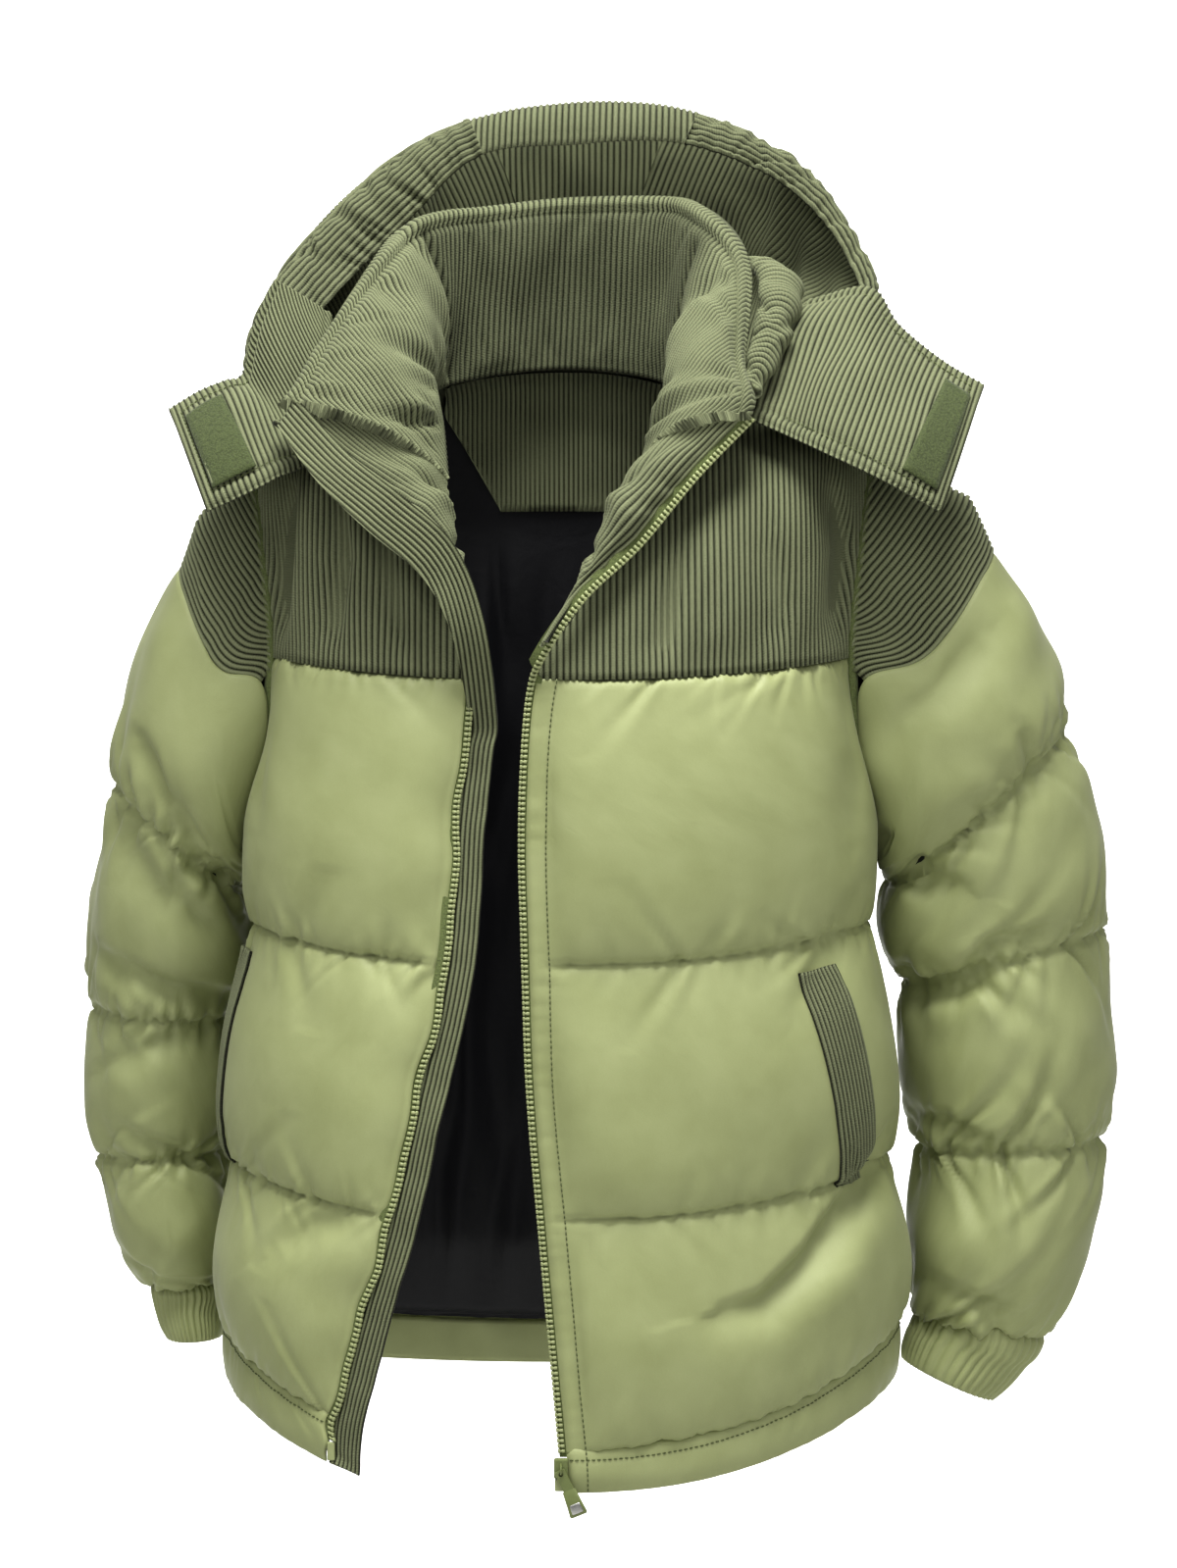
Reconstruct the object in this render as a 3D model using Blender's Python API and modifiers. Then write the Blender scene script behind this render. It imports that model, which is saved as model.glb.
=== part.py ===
"""Hooded puffer jacket, worn open and hollow. Metres, +Z up, front towards -Y.

Left and right are the wearer's: the wearer's left is at +X. The origin lies at
the middle of the shoulders. Tables are in millimetres and degrees.
"""
import math

import bmesh
import bpy
import numpy as np
from mathutils import Matrix, Vector

MM = 0.001
SEAM_GAP = 0.3             # between two pieces that are sewn together
CLOTH = 2.0                # corduroy or shell at a seam, with its turnings
PUFF_OUT = 13.0            # rise of a padded channel of the body over its seams
PUFF_IN = 8.0              # and the same on the inside
SLEEVE_PUFF = 10.0
CENTRE_X = -18.0           # middle of the body
ROUNDNESS = 2.3            # exponent of the body's oval sections
ARMHOLE_GAP = 2.6          # from the body's armhole to the sleeve, whose walls meet at an angle
ZIP_TEETH_WIDTH = 5.0
ZIP_TEETH_THICK = 3.0

# Body, at its seams and halfway between them. The depths run from the middle of the body.
BODY_COLUMNS = ("z_front", "z_side", "z_back", "half_width", "depth_left", "depth_right", "depth_back")
BODY = {
    "neck":         (-70, -2, 18, 92, 76, 76, 76),
    "mid_shoulder": (-90, -12, 6, 142, 98, 98, 96),
    "shoulder_tip": (-110, -32, -20, 200, 114, 116, 110),
    "upper_chest":  (-146, -98, -82, 204, 125, 128, 118),
    "yoke_seam":    (-188, -176, -160, 198, 132, 136, 120),
    "channel_1":    (-280, -270, -258, 200, 138, 148, 120),
    "seam_2":       (-373, -356, -350, 206, 143, 160, 121),
    "channel_2":    (-456, -436, -434, 214, 147, 172, 124),
    "seam_3":       (-538, -514, -516, 220, 150, 184, 127),
    "channel_3":    (-614, -570, -584, 223, 153, 194, 129),
    "hem_seam":     (-690, -626, -652, 226, 156, 200, 130),
    "hem":          (-716, -660, -684, 227, 156, 202, 130),
}
STATION = {name: float(number) for number, name in enumerate(BODY)}

# Front edges, as x at each station: the fold of the lapel at the top, then the zip.
EDGE_COLUMNS = ("left", "right")
FRONT_EDGE = {
    "neck":         (44, -100),
    "mid_shoulder": (34, -96),
    "shoulder_tip": (14, -90),
    "upper_chest":  (-8, -84),
    "yoke_seam":    (-33, -79),
    "channel_1":    (-40, -88),
    "seam_2":       (-38, -95),
    "channel_2":    (-35, -113),
    "seam_3":       (-28, -131),
    "channel_3":    (-21, -151),
    "hem_seam":     (-14, -168),
    "hem":          (-13, -170),
}

# Armhole: how far round from the front's or the back's middle it lies, in degrees.
ARMHOLE_COLUMNS = ("station", "front_angle", "back_angle")
ARMHOLE = (
    (2.0, 90, 90),
    (2.35, 80, 77),
    (3.0, 74, 68),
    (4.0, 73, 67),
    (4.6, 77, 72),
    (5.2, 90, 90),
)

# Sleeves: outer and inner point of each ring, seen from the front, then its middle and half depth.
SLEEVE_COLUMNS = ("outer_x", "outer_z", "inner_x", "inner_z", "middle_y", "half_depth")
SLEEVES = {
    "left": {
        "cap":       (256, -72, 204, -312, 6, 64),
        "upper":     (296, -160, 208, -322, 16, 72),
        "seam_a":    (322, -232, 209, -334, 26, 74),
        "channel_b": (340, -300, 212, -366, 36, 74),
        "seam_b":    (348, -366, 216, -402, 42, 74),
        "channel_c": (350, -440, 224, -458, 44, 72),
        "seam_c":    (349, -510, 229, -516, 44, 69),
        "channel_d": (336, -575, 230, -574, 38, 64),
        "cuff_seam": (311, -646, 226, -632, 30, 42),
        "cuff_mid":  (296, -666, 221, -646, 26, 37),
        "cuff_end":  (276, -687, 217, -661, 22, 34),
    },
    "right": {
        "cap":       (-262, -86, -242, -312, 12, 62),
        "upper":     (-296, -176, -246, -324, 30, 70),
        "seam_a":    (-320, -268, -248, -340, 50, 73),
        "channel_b": (-331, -340, -242, -384, 68, 73),
        "seam_b":    (-340, -424, -246, -430, 82, 73),
        "channel_c": (-338, -476, -251, -478, 88, 71),
        "seam_c":    (-338, -526, -253, -524, 88, 68),
        "channel_d": (-322, -574, -253, -572, 84, 62),
        "cuff_seam": (-302, -618, -252, -614, 76, 40),
        "cuff_mid":  (-297, -634, -256, -634, 70, 36),
        "cuff_end":  (-290, -652, -256, -652, 64, 33),
    },
}
SLEEVE_SEAMS = (3.0, 5.0, 7.0, 9.0)
# The corduroy cap's lower edge: angle from the shoulder line, and how far down the sleeve.
CAP_COLUMNS = ("angle", "reach")
CAP_EDGE = ((0, 1.4), (36, 1.34), (72, 1.06), (90, 0.74), (108, 0.22), (126, 0.0))
CAP_ANGLE = 108.0
SLEEVE_COLUMNS_ROUND = 20

# Stand collar, from the right front corner round the back to the left one.
BAND_COLUMNS = ("inner_x", "inner_y", "inner_z", "outer_x", "outer_y", "outer_z", "bow")
COLLAR = {
    "right_corner": (-97, -60, -25, -192, -92, -4, 10),
    "right_front":  (-104, -32, -2, -178, -58, 32, 12),
    "right_side":   (-109, 8, 4.2, -147, 4, 85, 12),
    "right_back":   (-98, 48, 8.2, -124, 54, 113, 6),
    "back_right":   (-62, 71, 15.7, -76, 84, 124, 3),
    "back":         (-16, 80, 19.7, -10, 97, 131, 2),
    "back_left":    (30, 70, 15.7, 62, 84, 130, 3),
    "left_back":    (60, 44, 8.7, 92, 46, 116, 6),
    "left_side":    (68, 0, 4.7, 108, -4, 82, 12),
    "left_front":   (55, -44, -9, 104, -62, 20, 12),
    "left_corner":  (40, -68, -38, 108, -98, -8, 10),
}
COLLAR_THICK = 11.0
# Lapel facings: their roll line and their edge, from the collar down.
FACING_LEFT = {
    "collar": (36, -82, -47, 104, -102, -16, 9),
    "upper":  (20, -104, -70, 66, -116, -55, 10),
    "middle": (6, -122, -97, 30, -130, -98, 8),
    "lower":  (-11, -137, -137, -6, -141, -132, 3),
    "point":  (-31, -147, -166, -28, -148, -162, 0),
}
FACING_RIGHT = {
    "collar": (-96, -71.5, -38, -176, -94, -20, 8),
    "upper":  (-90, -98, -64, -142, -114, -62, 9),
    "middle": (-86, -121, -93, -112, -131, -89, 7),
    "lower":  (-79, -140, -126, -84, -144, -120, 2),
    "point":  (-74, -150, -154, -78, -152, -150, 0),
}
FACING_THICK = 11.0
FACING_THIN = 0.72        # share of that by which it thins towards its narrow foot
# Wind flap: its outer and inner edge where the lapel turns it out, from its top corner down.
WIND_FLAP_TOP = {
    "corner": (-202, -108, -24, -190, -103, -6, 0),
    "upper":  (-179, -130, -56, -154, -127, -43, 0),
    "lapel":  (-144, -147, -90, -119, -145, -70, 0),
    "bend":   (-106, -157, -122, -86, -157, -100, 0),
    "turn":   (-87, -160, -160, -67, -160, -148, 0),
}
WIND_FLAP_NEAR = 6.7       # its edges beyond the front's edge, from the yoke seam down
WIND_FLAP_FAR = 22.0

# Hood, in arches: the angle from straight up, seen from the front, then the neck seam's place
# and the reach and depth of the back, the crown and the rim of the face opening.
HOOD_COLUMNS = ("angle", "neck_x", "neck_y", "neck_z", "back_reach", "back_y",
                "crown_reach", "crown_y", "rim_reach", "rim_y")
HOOD = (
    (-90, -150, -38, -8, 172, -6, 213, -16, 197, -28),
    (-85, -138, 6, -5, 174, 42, 221, 4, 194, -8),
    (-73, -126, 42, -2.8, 164, 88, 216, 32, 178, 22),
    (-56, -108, 76, -1.8, 150, 132, 208, 68, 164, 60),
    (-40, -84, 98, -1.5, 130, 162, 203, 92, 162, 74),
    (-24, -58, 110, -1, 112, 182, 200, 102, 172, 76),
    (0, -16, 116, -0.8, 100, 192, 198, 106, 168, 76),
    (29, 34, 106, -0.7, 112, 184, 211, 100, 188, 72),
    (50, 64, 82, -0.7, 132, 156, 218, 78, 202, 54),
    (64, 86, 46, -1.7, 148, 112, 214, 48, 204, 26),
    (71, 98, 14, -2.7, 158, 70, 211, 24, 202, 4),
    (78, 112, -32, -4.7, 158, 20, 196, 2, 186, -14),
    (84, 122, -64, -11, 152, -28, 172, -18, 164, -30),
)
HOOD_CENTRE_X = -10.0
HOOD_SEAMS = (-19.0, 20.0)           # the middle panel's edges, in degrees
HOOD_THICK = 2.4
HOOD_BAND_THICK = 5.0
HOOD_BAND_FORWARD = 3.1    # from the panels' edge to the band
HOOD_BAND_ROLL = 9.0       # rise of the band between its edges
FLAP_LEFT = {
    "root":   (188, -6, 64, 125, -83, -24, 5),
    "inner":  (210, -10, 60, 150, -109, -36, 8),
    "middle": (234, -24, 38, 184, -119, -52, 8),
    "tip":    (259, -44, 2, 225, -108, -76, 3),
}
FLAP_RIGHT = {
    "root":   (-229, -24, 8, -183, -81, -43, 5),
    "inner":  (-242, -31, 7, -203, -101, -57, 8),
    "middle": (-259, -33, 0, -224, -107, -68, 8),
    "tip":    (-278, -46, -12, -249, -104, -79, 3),
}
FLAP_THICK = 5.0
PATCH_THICK = 1.6
# Touch fastening on the flaps: how far along and across each flap it lies, as shares.
PATCHES = {
    "hook_patch": (FLAP_LEFT, (0.70, 0.93), (0.16, 0.90)),
    "loop_patch": (FLAP_RIGHT, (0.42, 0.86), (0.20, 0.88)),
}

# Inside of the back: half angle of the corduroy neck facing at each station.
NECK_FACING_COLUMNS = ("station", "half_angle")
NECK_FACING = ((0.2, 58), (1.0, 44), (2.0, 30), (3.0, 17))
NECK_FACING_DEPTH = 2.5    # from the back's seam surface to what is sewn inside it
LINING_DEPTH = 15.0        # and to the lining, over the padding
LINING_SEAM_DEPTH = 6.0    # and to the lining at its top and its foot
LINING_THICK = 1.0
LINING_FIRST = 1.6         # the station where the lining starts
LINING_RAMP = (3.2, 1.6)   # the station where it starts to leave the yoke, and over how many
LINING_EASE = 0.8          # and over how many stations it comes back to the hem
LINING_SIDE = 5.0          # degrees from its edge to the armhole or side seam
HEM_FACING_SPAN = (0.04, 0.06)   # from the hem seam and from the hem, in stations
BACK_FADE = (0.06, 0.06)   # as FRONT_FADE, of the back

# Pocket welts, in degrees: the top end's and the bottom end's place round the front, and the width.
POCKETS = {"left": (44.5, 53.0, 7.5), "right": (70.0, 75.0, 6.5)}
POCKET_STATIONS = (6.18, 8.12)
WELT_THICK = 3.5
POCKET_GAP = 1.1           # over the front's faceted padding

ZIP_FOLD = (-26, -142, -172, -31, -142, -170, 0)   # where the lapel ends
# Zip: the slider stands on the box at the foot of the left edge, and the pin ends the right one.
SLIDER_PLACE = (-17.9, -160.0, -699.0)
SLIDER_SIZE = (9.0, 5.0, 13.0)
BOX_SIZE = (8.0, 4.0, 8.0)
PIN_SIZE = (5.0, 3.0, 12.0)
BAIL_RADIUS = 3.2          # of the arch that carries the pull tab
BAIL_WIRE_RADIUS = 0.7
BAIL_FORWARD = 1.4         # from the slider's face to the arch's centre
PULL_TILT = 26.0           # of the hanging tab, seen from the front
PULL_SIZE = (7.0, 1.6, 32.0)
PULL_HOLE_RADIUS = 1.5
PULL_HOLE_RIM = 1.3

COLOURS = {                # colour, roughness, metallic
    "satin": ((0.34, 0.39, 0.15), 0.45, 0.0),
    "corduroy": ((0.17, 0.20, 0.085), 0.9, 0.0),
    "lining": ((0.008, 0.008, 0.012), 0.5, 0.0),
    "zip_teeth": ((0.48, 0.52, 0.28), 0.4, 0.0),
    "hook_and_loop": ((0.12, 0.14, 0.06), 0.95, 0.0),
    "painted_zinc": ((0.26, 0.29, 0.14), 0.4, 0.3),
}


# ---------------------------------------------------------------- curves through the tables

def through(places, values, at):
    """Smooth curve through a table's values, at one place or an array of places."""
    places = np.asarray(places, float)
    values = np.asarray(values, float)
    slopes = np.gradient(values, places, axis=0)
    at = np.clip(at, places[0], places[-1])
    low = np.clip(np.searchsorted(places, at, side="right") - 1, 0, len(places) - 2)
    step = places[low + 1] - places[low]
    t = (at - places[low]) / step
    return ((1 + 2 * t) * (1 - t) ** 2 * values[low] + t * (1 - t) ** 2 * step * slopes[low]
            + t * t * (3 - 2 * t) * values[low + 1] + t * t * (t - 1) * step * slopes[low + 1])


def column(table, names, name):
    """One named column of a table of rows."""
    rows = table.values() if isinstance(table, dict) else table
    return [row[names.index(name)] for row in rows]


def body_value(name, station):
    """A column of BODY at a station, which may lie between two rows."""
    return float(through(range(len(BODY)), column(BODY, BODY_COLUMNS, name), station))


def bent(value):
    """A sine or cosine, made squarer as the body's oval sections are."""
    return math.copysign(abs(value) ** (2 / ROUNDNESS), value)


# ---------------------------------------------------------------- the body's form

def front_point(side, angle, station):
    """Point of a front: angle 0 is the middle of the front, and +90 the left side seam."""
    turn = math.radians(angle)
    x = CENTRE_X + body_value("half_width", station) * bent(math.sin(turn))
    y = -body_value("depth_" + side, station) * bent(math.cos(turn))
    fall = body_value("z_front", station) - body_value("z_side", station)
    return Vector((x, y, body_value("z_side", station) + fall * math.cos(turn) ** 2))


def back_point(angle, station):
    """Point of the back: angle 0 is its middle, and +90 the left side seam."""
    turn = math.radians(angle)
    x = CENTRE_X + body_value("half_width", station) * bent(math.sin(turn))
    y = body_value("depth_back", station) * bent(math.cos(turn))
    fall = body_value("z_back", station) - body_value("z_side", station)
    return Vector((x, y, body_value("z_side", station) + fall * math.cos(turn) ** 2))


def edge_angle(side, station, inset=0.0):
    """Angle of a front's edge, moved into the front by inset."""
    x = float(through(range(len(FRONT_EDGE)), column(FRONT_EDGE, EDGE_COLUMNS, side), station))
    x += inset if side == "left" else -inset
    share = (x - CENTRE_X) / body_value("half_width", station)
    return math.degrees(math.asin(math.copysign(abs(share) ** (ROUNDNESS / 2), share)))


def side_angle(face, station):
    """Angle of the shoulder line, armhole or side seam, whichever bounds the body there."""
    stations = column(ARMHOLE, ARMHOLE_COLUMNS, "station")
    if not stations[0] < station < stations[-1]:
        return 90.0
    return float(through(stations, column(ARMHOLE, ARMHOLE_COLUMNS, face + "_angle"), station))


def rise(share):
    """Height of a padded channel, 0 at its seams and 1 in the middle."""
    return max(0.0, math.sin(math.pi * share)) ** 0.55


def channel_rise(place, seams):
    """The rise at a place among seams."""
    for low, high in zip(seams, seams[1:]):
        if low <= place <= high:
            return rise((place - low) / (high - low))
    return 0.0


# ---------------------------------------------------------------- meshes

def unit_normal(surface, u, v):
    """Normal of a surface over the unit square."""
    step = 0.004
    across = surface(min(u + step, 1), v) - surface(max(u - step, 0), v)
    along = surface(u, min(v + step, 1)) - surface(u, max(v - step, 0))
    return across.cross(along).normalized()


def material(name):
    """The Principled material of a kind of cloth or metal."""
    made = bpy.data.materials.get(name)
    if made is None:
        colour, roughness, metallic = COLOURS[name]
        made = bpy.data.materials.new(name)
        made.use_nodes = True
        shader = made.node_tree.nodes["Principled BSDF"]
        shader.inputs["Base Color"].default_value = (*colour, 1)
        shader.inputs["Roughness"].default_value = roughness
        shader.inputs["Metallic"].default_value = metallic
        made.diffuse_color = (*colour, 1)
    return made


def finish(name, mesh, cloth):
    """Adds a mesh, in millimetres, as a named object in metres."""
    mesh.transform(Matrix.Scale(MM, 4))
    mesh.materials.append(material(cloth))
    mesh.shade_smooth()
    mesh.set_sharp_from_angle(angle=math.radians(40))
    made = bpy.data.objects.new(name, mesh)
    bpy.data.collections["hooded_puffer_jacket"].objects.link(made)
    return made


def wall(name, surface, columns, rows, cloth, outer, inner, closed=False):
    """A wall of cloth over the unit square of a surface.

    outer and inner give its two faces' distances along the normal, as numbers or as
    functions of the place. A closed wall is a tube, whose first and last columns meet.
    """
    shape = bmesh.new()
    count = columns if closed else columns + 1
    faces = []
    for distance in (outer, inner):
        grid = []
        for row in range(rows + 1):
            line = []
            for place in range(count):
                u = place / columns
                v = row / rows
                reach = distance(u, v) if callable(distance) else distance
                line.append(shape.verts.new(surface(u, v) + unit_normal(surface, u, v) * reach))
            grid.append(line)
        faces.append(grid)
    top, under = faces
    for row in range(rows):
        for place in range(columns):
            after = (place + 1) % count
            shape.faces.new((top[row][place], top[row][after], top[row + 1][after], top[row + 1][place]))
            shape.faces.new((under[row][place], under[row + 1][place], under[row + 1][after],
                             under[row][after]))
    for place in range(columns):
        after = (place + 1) % count
        shape.faces.new((top[0][after], top[0][place], under[0][place], under[0][after]))
        shape.faces.new((top[-1][place], top[-1][after], under[-1][after], under[-1][place]))
    if not closed:
        for row in range(rows):
            shape.faces.new((top[row][0], top[row + 1][0], under[row + 1][0], under[row][0]))
            shape.faces.new((top[row + 1][-1], top[row][-1], under[row][-1], under[row + 1][-1]))
    bmesh.ops.triangulate(shape, faces=shape.faces[:])
    if shape.calc_volume(signed=True) < 0:
        bmesh.ops.reverse_faces(shape, faces=shape.faces[:])
    mesh = bpy.data.meshes.new(name)
    shape.to_mesh(mesh)
    shape.free()
    return finish(name, mesh, cloth)


def patch(point, low_angle, high_angle, first, last):
    """Surface between two angles, which depend on the station, over a span of stations."""
    def surface(u, v):
        station = first + (last - first) * v
        low, high = low_angle(station), high_angle(station)
        half = (high - low) / 2
        middle = (high + low) / 2
        reach = (point(high, station) - point(low, station)).length
        half *= 1 - SEAM_GAP / max(reach, 1)
        return point(middle + half * (2 * u - 1), station)
    return surface


def facets(surface, outer, columns, rows):
    """A padded panel's outer face as it is built, flat between the points of its grid."""
    grid = [[surface(u / columns, v / rows) + unit_normal(surface, u / columns, v / rows)
             * outer(u / columns, v / rows) for u in range(columns + 1)] for v in range(rows + 1)]

    def point(u, v):
        across, down = u * columns, v * rows
        left, top = min(int(across), columns - 1), min(int(down), rows - 1)
        share = across - left
        upper = grid[top][left].lerp(grid[top][left + 1], share)
        lower = grid[top + 1][left].lerp(grid[top + 1][left + 1], share)
        return upper.lerp(lower, down - top)
    return point


def trimmed(first, last, spacing):
    """A span of stations, shortened at each end by half a seam gap."""
    cut = SEAM_GAP / 2 / spacing
    return first + cut, last - cut


# ---------------------------------------------------------------- body pieces

STATION_SPACING = 30.0     # least distance between two stations of the body
FRONT_GRID = (8, 15)       # columns and rows of a front
FRONT_FADE = (0.10, 0.12)  # shares of a front's width over which its padding thins to its edges
QUILT_SEAMS = (STATION["yoke_seam"], STATION["seam_2"], STATION["seam_3"], STATION["hem_seam"])


def padded(span, edge_fade, turn):
    """Outer and inner distances of a quilted panel, thin at its seams and its side edges."""
    def share(u, v):
        station = span[0] + (span[1] - span[0]) * v
        across = min(u / edge_fade[0], 1) * min((1 - u) / edge_fade[1], 1)
        return channel_rise(station, QUILT_SEAMS) * math.sin(across * math.pi / 2) ** 0.6

    def outer(u, v):
        return turn * (1 + PUFF_OUT * share(u, v))

    def inner(u, v):
        return turn * (1 - CLOTH - PUFF_IN * share(u, v))

    return outer, inner


def front_patch(side, span):
    """Surface of a front from its edge to the armhole or side seam, over a span of stations."""
    sign = 1 if side == "left" else -1

    def low_angle(station):
        return sign * edge_angle(side, station)

    def high_angle(station):
        return side_angle("front", station)

    def point(angle, station):
        return front_point(side, sign * angle, station)

    return patch(point, low_angle, high_angle, *span)


def make_front(side):
    """Quilted front, its corduroy yoke and its hem band."""
    turn = -1 if side == "left" else 1
    span = trimmed(STATION["yoke_seam"], STATION["hem_seam"], STATION_SPACING)
    outer, inner = padded(span, FRONT_FADE, turn)
    wall("front_" + side, front_patch(side, span), *FRONT_GRID, "satin", outer, inner)
    span = trimmed(STATION["neck"], STATION["yoke_seam"], STATION_SPACING)
    wall("front_yoke_" + side, front_patch(side, span), 8, 6, "corduroy", turn, turn * (1 - CLOTH))
    span = trimmed(STATION["hem_seam"], STATION["hem"], STATION_SPACING)
    wall("hem_" + side, front_patch(side, span), 8, 1, "satin", turn * 2, -turn)


def make_back():
    """Quilted back, its yoke, hem band, neck facing, lining and hem facing."""
    def high(station):
        return side_angle("back", station)

    def low(station):
        return -side_angle("back", station)

    span = trimmed(STATION["yoke_seam"], STATION["hem_seam"], STATION_SPACING)
    outer, inner = padded(span, BACK_FADE, 1)
    wall("back_panel", patch(back_point, low, high, *span), 14, 12, "satin", outer, inner)
    span = trimmed(STATION["neck"], STATION["yoke_seam"], STATION_SPACING)
    wall("back_yoke", patch(back_point, low, high, *span), 14, 5, "corduroy", 1, 1 - CLOTH)
    span = trimmed(STATION["hem_seam"], STATION["hem"], STATION_SPACING)
    wall("hem_back", patch(back_point, low, high, *span), 14, 1, "satin", 2, -1)

    def facing_edge(station):
        stations = column(NECK_FACING, NECK_FACING_COLUMNS, "station")
        angles = column(NECK_FACING, NECK_FACING_COLUMNS, "half_angle")
        return float(through(stations, angles, station))

    def facing_low(station):
        return -facing_edge(station)

    surface = patch(back_point, facing_low, facing_edge, NECK_FACING[0][0], NECK_FACING[-1][0])
    under = (-NECK_FACING_DEPTH, -NECK_FACING_DEPTH - CLOTH)
    wall("neck_facing", surface, 8, 4, "corduroy", *under)

    first, last = LINING_FIRST, STATION["hem_seam"] - HEM_FACING_SPAN[1]

    def lining_edge(station):
        return side_angle("back", station) - LINING_SIDE

    def lining_low(station):
        return -lining_edge(station)

    def lining_depth(u, v):
        station = first + (last - first) * v
        ramp = min(max((station - LINING_RAMP[0]) / LINING_RAMP[1], 0), 1)
        ease = min(max((last - station) / LINING_EASE, 0), 1)
        return -LINING_SEAM_DEPTH - (LINING_DEPTH - LINING_SEAM_DEPTH) * min(ramp, ease)

    def lining_under(u, v):
        return lining_depth(u, v) - LINING_THICK

    surface = patch(back_point, lining_low, lining_edge, first, last)
    wall("lining_back", surface, 12, 10, "lining", lining_depth, lining_under)
    span = (STATION["hem_seam"] + HEM_FACING_SPAN[0], STATION["hem"] - HEM_FACING_SPAN[1])
    surface = patch(back_point, lining_low, lining_edge, *span)
    wall("hem_facing", surface, 12, 1, "satin", *under)


# ---------------------------------------------------------------- sleeves

def armhole_point(side, angle):
    """Point of the armhole seam: angle 0 at the shoulder, 90 in front, 180 under the arm."""
    top, bottom = ARMHOLE[0][0], ARMHOLE[-1][0]
    share = (1 - math.cos(math.radians(angle))) / 2
    station = top + (bottom - top) * share
    face = "front" if angle % 360 <= 180 else "back"
    turn = side_angle(face, station) * (1 if side == "left" else -1)
    return front_point(side, turn, station) if face == "front" else back_point(turn, station)


def sleeve_point(side, angle, reach):
    """Point of a sleeve: angle as for the armhole, and how many rings down from it."""
    rings = SLEEVES[side]
    values = {name: float(through(range(1, len(rings) + 1), column(rings, SLEEVE_COLUMNS, name),
                                  max(reach, 1))) for name in SLEEVE_COLUMNS}
    turn = math.radians(angle)
    outer = Vector((values["outer_x"], 0, values["outer_z"]))
    inner = Vector((values["inner_x"], 0, values["inner_z"]))
    ring = (outer + inner) / 2 + (outer - inner) / 2 * math.cos(turn)
    ring.y = values["middle_y"] - values["half_depth"] * math.sin(turn)
    if reach >= 1:
        return ring
    start = armhole_point(side, angle)
    away = Vector((ARMHOLE_GAP if side == "left" else -ARMHOLE_GAP, 0, 0))
    ease = reach * reach * (3 - 2 * reach)
    return (start + away).lerp(ring, ease * 0.3 + reach * 0.7)


def cap_reach(angle):
    """How far the cap reaches down the sleeve at an angle, or 0 beyond it."""
    turn = abs((angle + 180) % 360 - 180)
    angles = column(CAP_EDGE, CAP_COLUMNS, "angle")
    if turn > angles[-1]:
        return 0.0
    return float(through(angles, column(CAP_EDGE, CAP_COLUMNS, "reach"), turn))


def make_sleeve(side):
    """Quilted sleeve, its corduroy cap and its cuff."""
    turn = 1 if side == "left" else -1
    cut = SEAM_GAP / 2 / 60

    def shell(u, v):
        angle = 360 * u
        start = cap_reach(angle) + 6 * cut
        return sleeve_point(side, angle, start + (SLEEVE_SEAMS[-1] - cut - start) * v)

    def puff(u, v):
        angle = 360 * u
        start = cap_reach(angle)
        reach = start + (SLEEVE_SEAMS[-1] - start) * v
        return channel_rise(reach, (min(start, 1.6), *SLEEVE_SEAMS))

    def outer(u, v):
        return turn * (1 + SLEEVE_PUFF * puff(u, v))

    def inner(u, v):
        return -turn * (1 + 0.6 * SLEEVE_PUFF * puff(u, v))

    round_count = SLEEVE_COLUMNS_ROUND
    wall("sleeve_" + side, shell, round_count, 13, "satin", outer, inner, closed=True)

    def cap(u, v):
        angle = CAP_ANGLE * (2 * u - 1)
        return sleeve_point(side, angle, cut + (cap_reach(angle) - 3 * cut) * v)

    cap_count = round(round_count * CAP_ANGLE / 180)
    wall("sleeve_cap_" + side, cap, cap_count, 3, "corduroy", turn, -turn)

    def cuff(u, v):
        return sleeve_point(side, 360 * u, SLEEVE_SEAMS[-1] + 2 * cut + (2 - 2 * cut) * v)

    wall("cuff_" + side, cuff, round_count, 2, "satin", turn * 1.5, -turn * 1.5, closed=True)


# ---------------------------------------------------------------- bands between two edges

def band(table, turn=1):
    """Surface between two edges of a table: u along it, v from its inner to its outer edge.

    Its bow rises along its normal, or against it where turn is -1.
    """
    places = np.linspace(0, 1, len(table))
    rows = np.array(list(table.values()), float)

    def surface(u, v):
        row = through(places, rows, u)
        inner, outer = Vector(row[0:3]), Vector(row[3:6])
        step = 0.01
        before = through(places, rows, max(u - step, 0))
        after = through(places, rows, min(u + step, 1))
        along = Vector(after[0:3] + after[3:6] - before[0:3] - before[3:6])
        lift = along.cross(outer - inner).normalized() * turn
        return inner.lerp(outer, v) + lift * (row[6] * 4 * v * (1 - v))
    return surface


def make_collar():
    """Padded collar and the two facings that turn out with it."""
    def thick(u, v):
        return -COLLAR_THICK * (0.3 + 0.7 * rise(0.1 + 0.8 * v))

    def facing_under(u, v):
        return 1 - FACING_THICK * (1 - FACING_THIN * min(max((u - 0.4) / 0.4, 0), 1))

    wall("collar", band(COLLAR), 20, 4, "corduroy", 1, thick)
    wall("facing_left", band(FACING_LEFT), 7, 3, "corduroy", 1, facing_under)
    wall("facing_right", band(FACING_RIGHT, -1), 7, 3, "corduroy", -1, lambda u, v: -facing_under(u, v))


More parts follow.
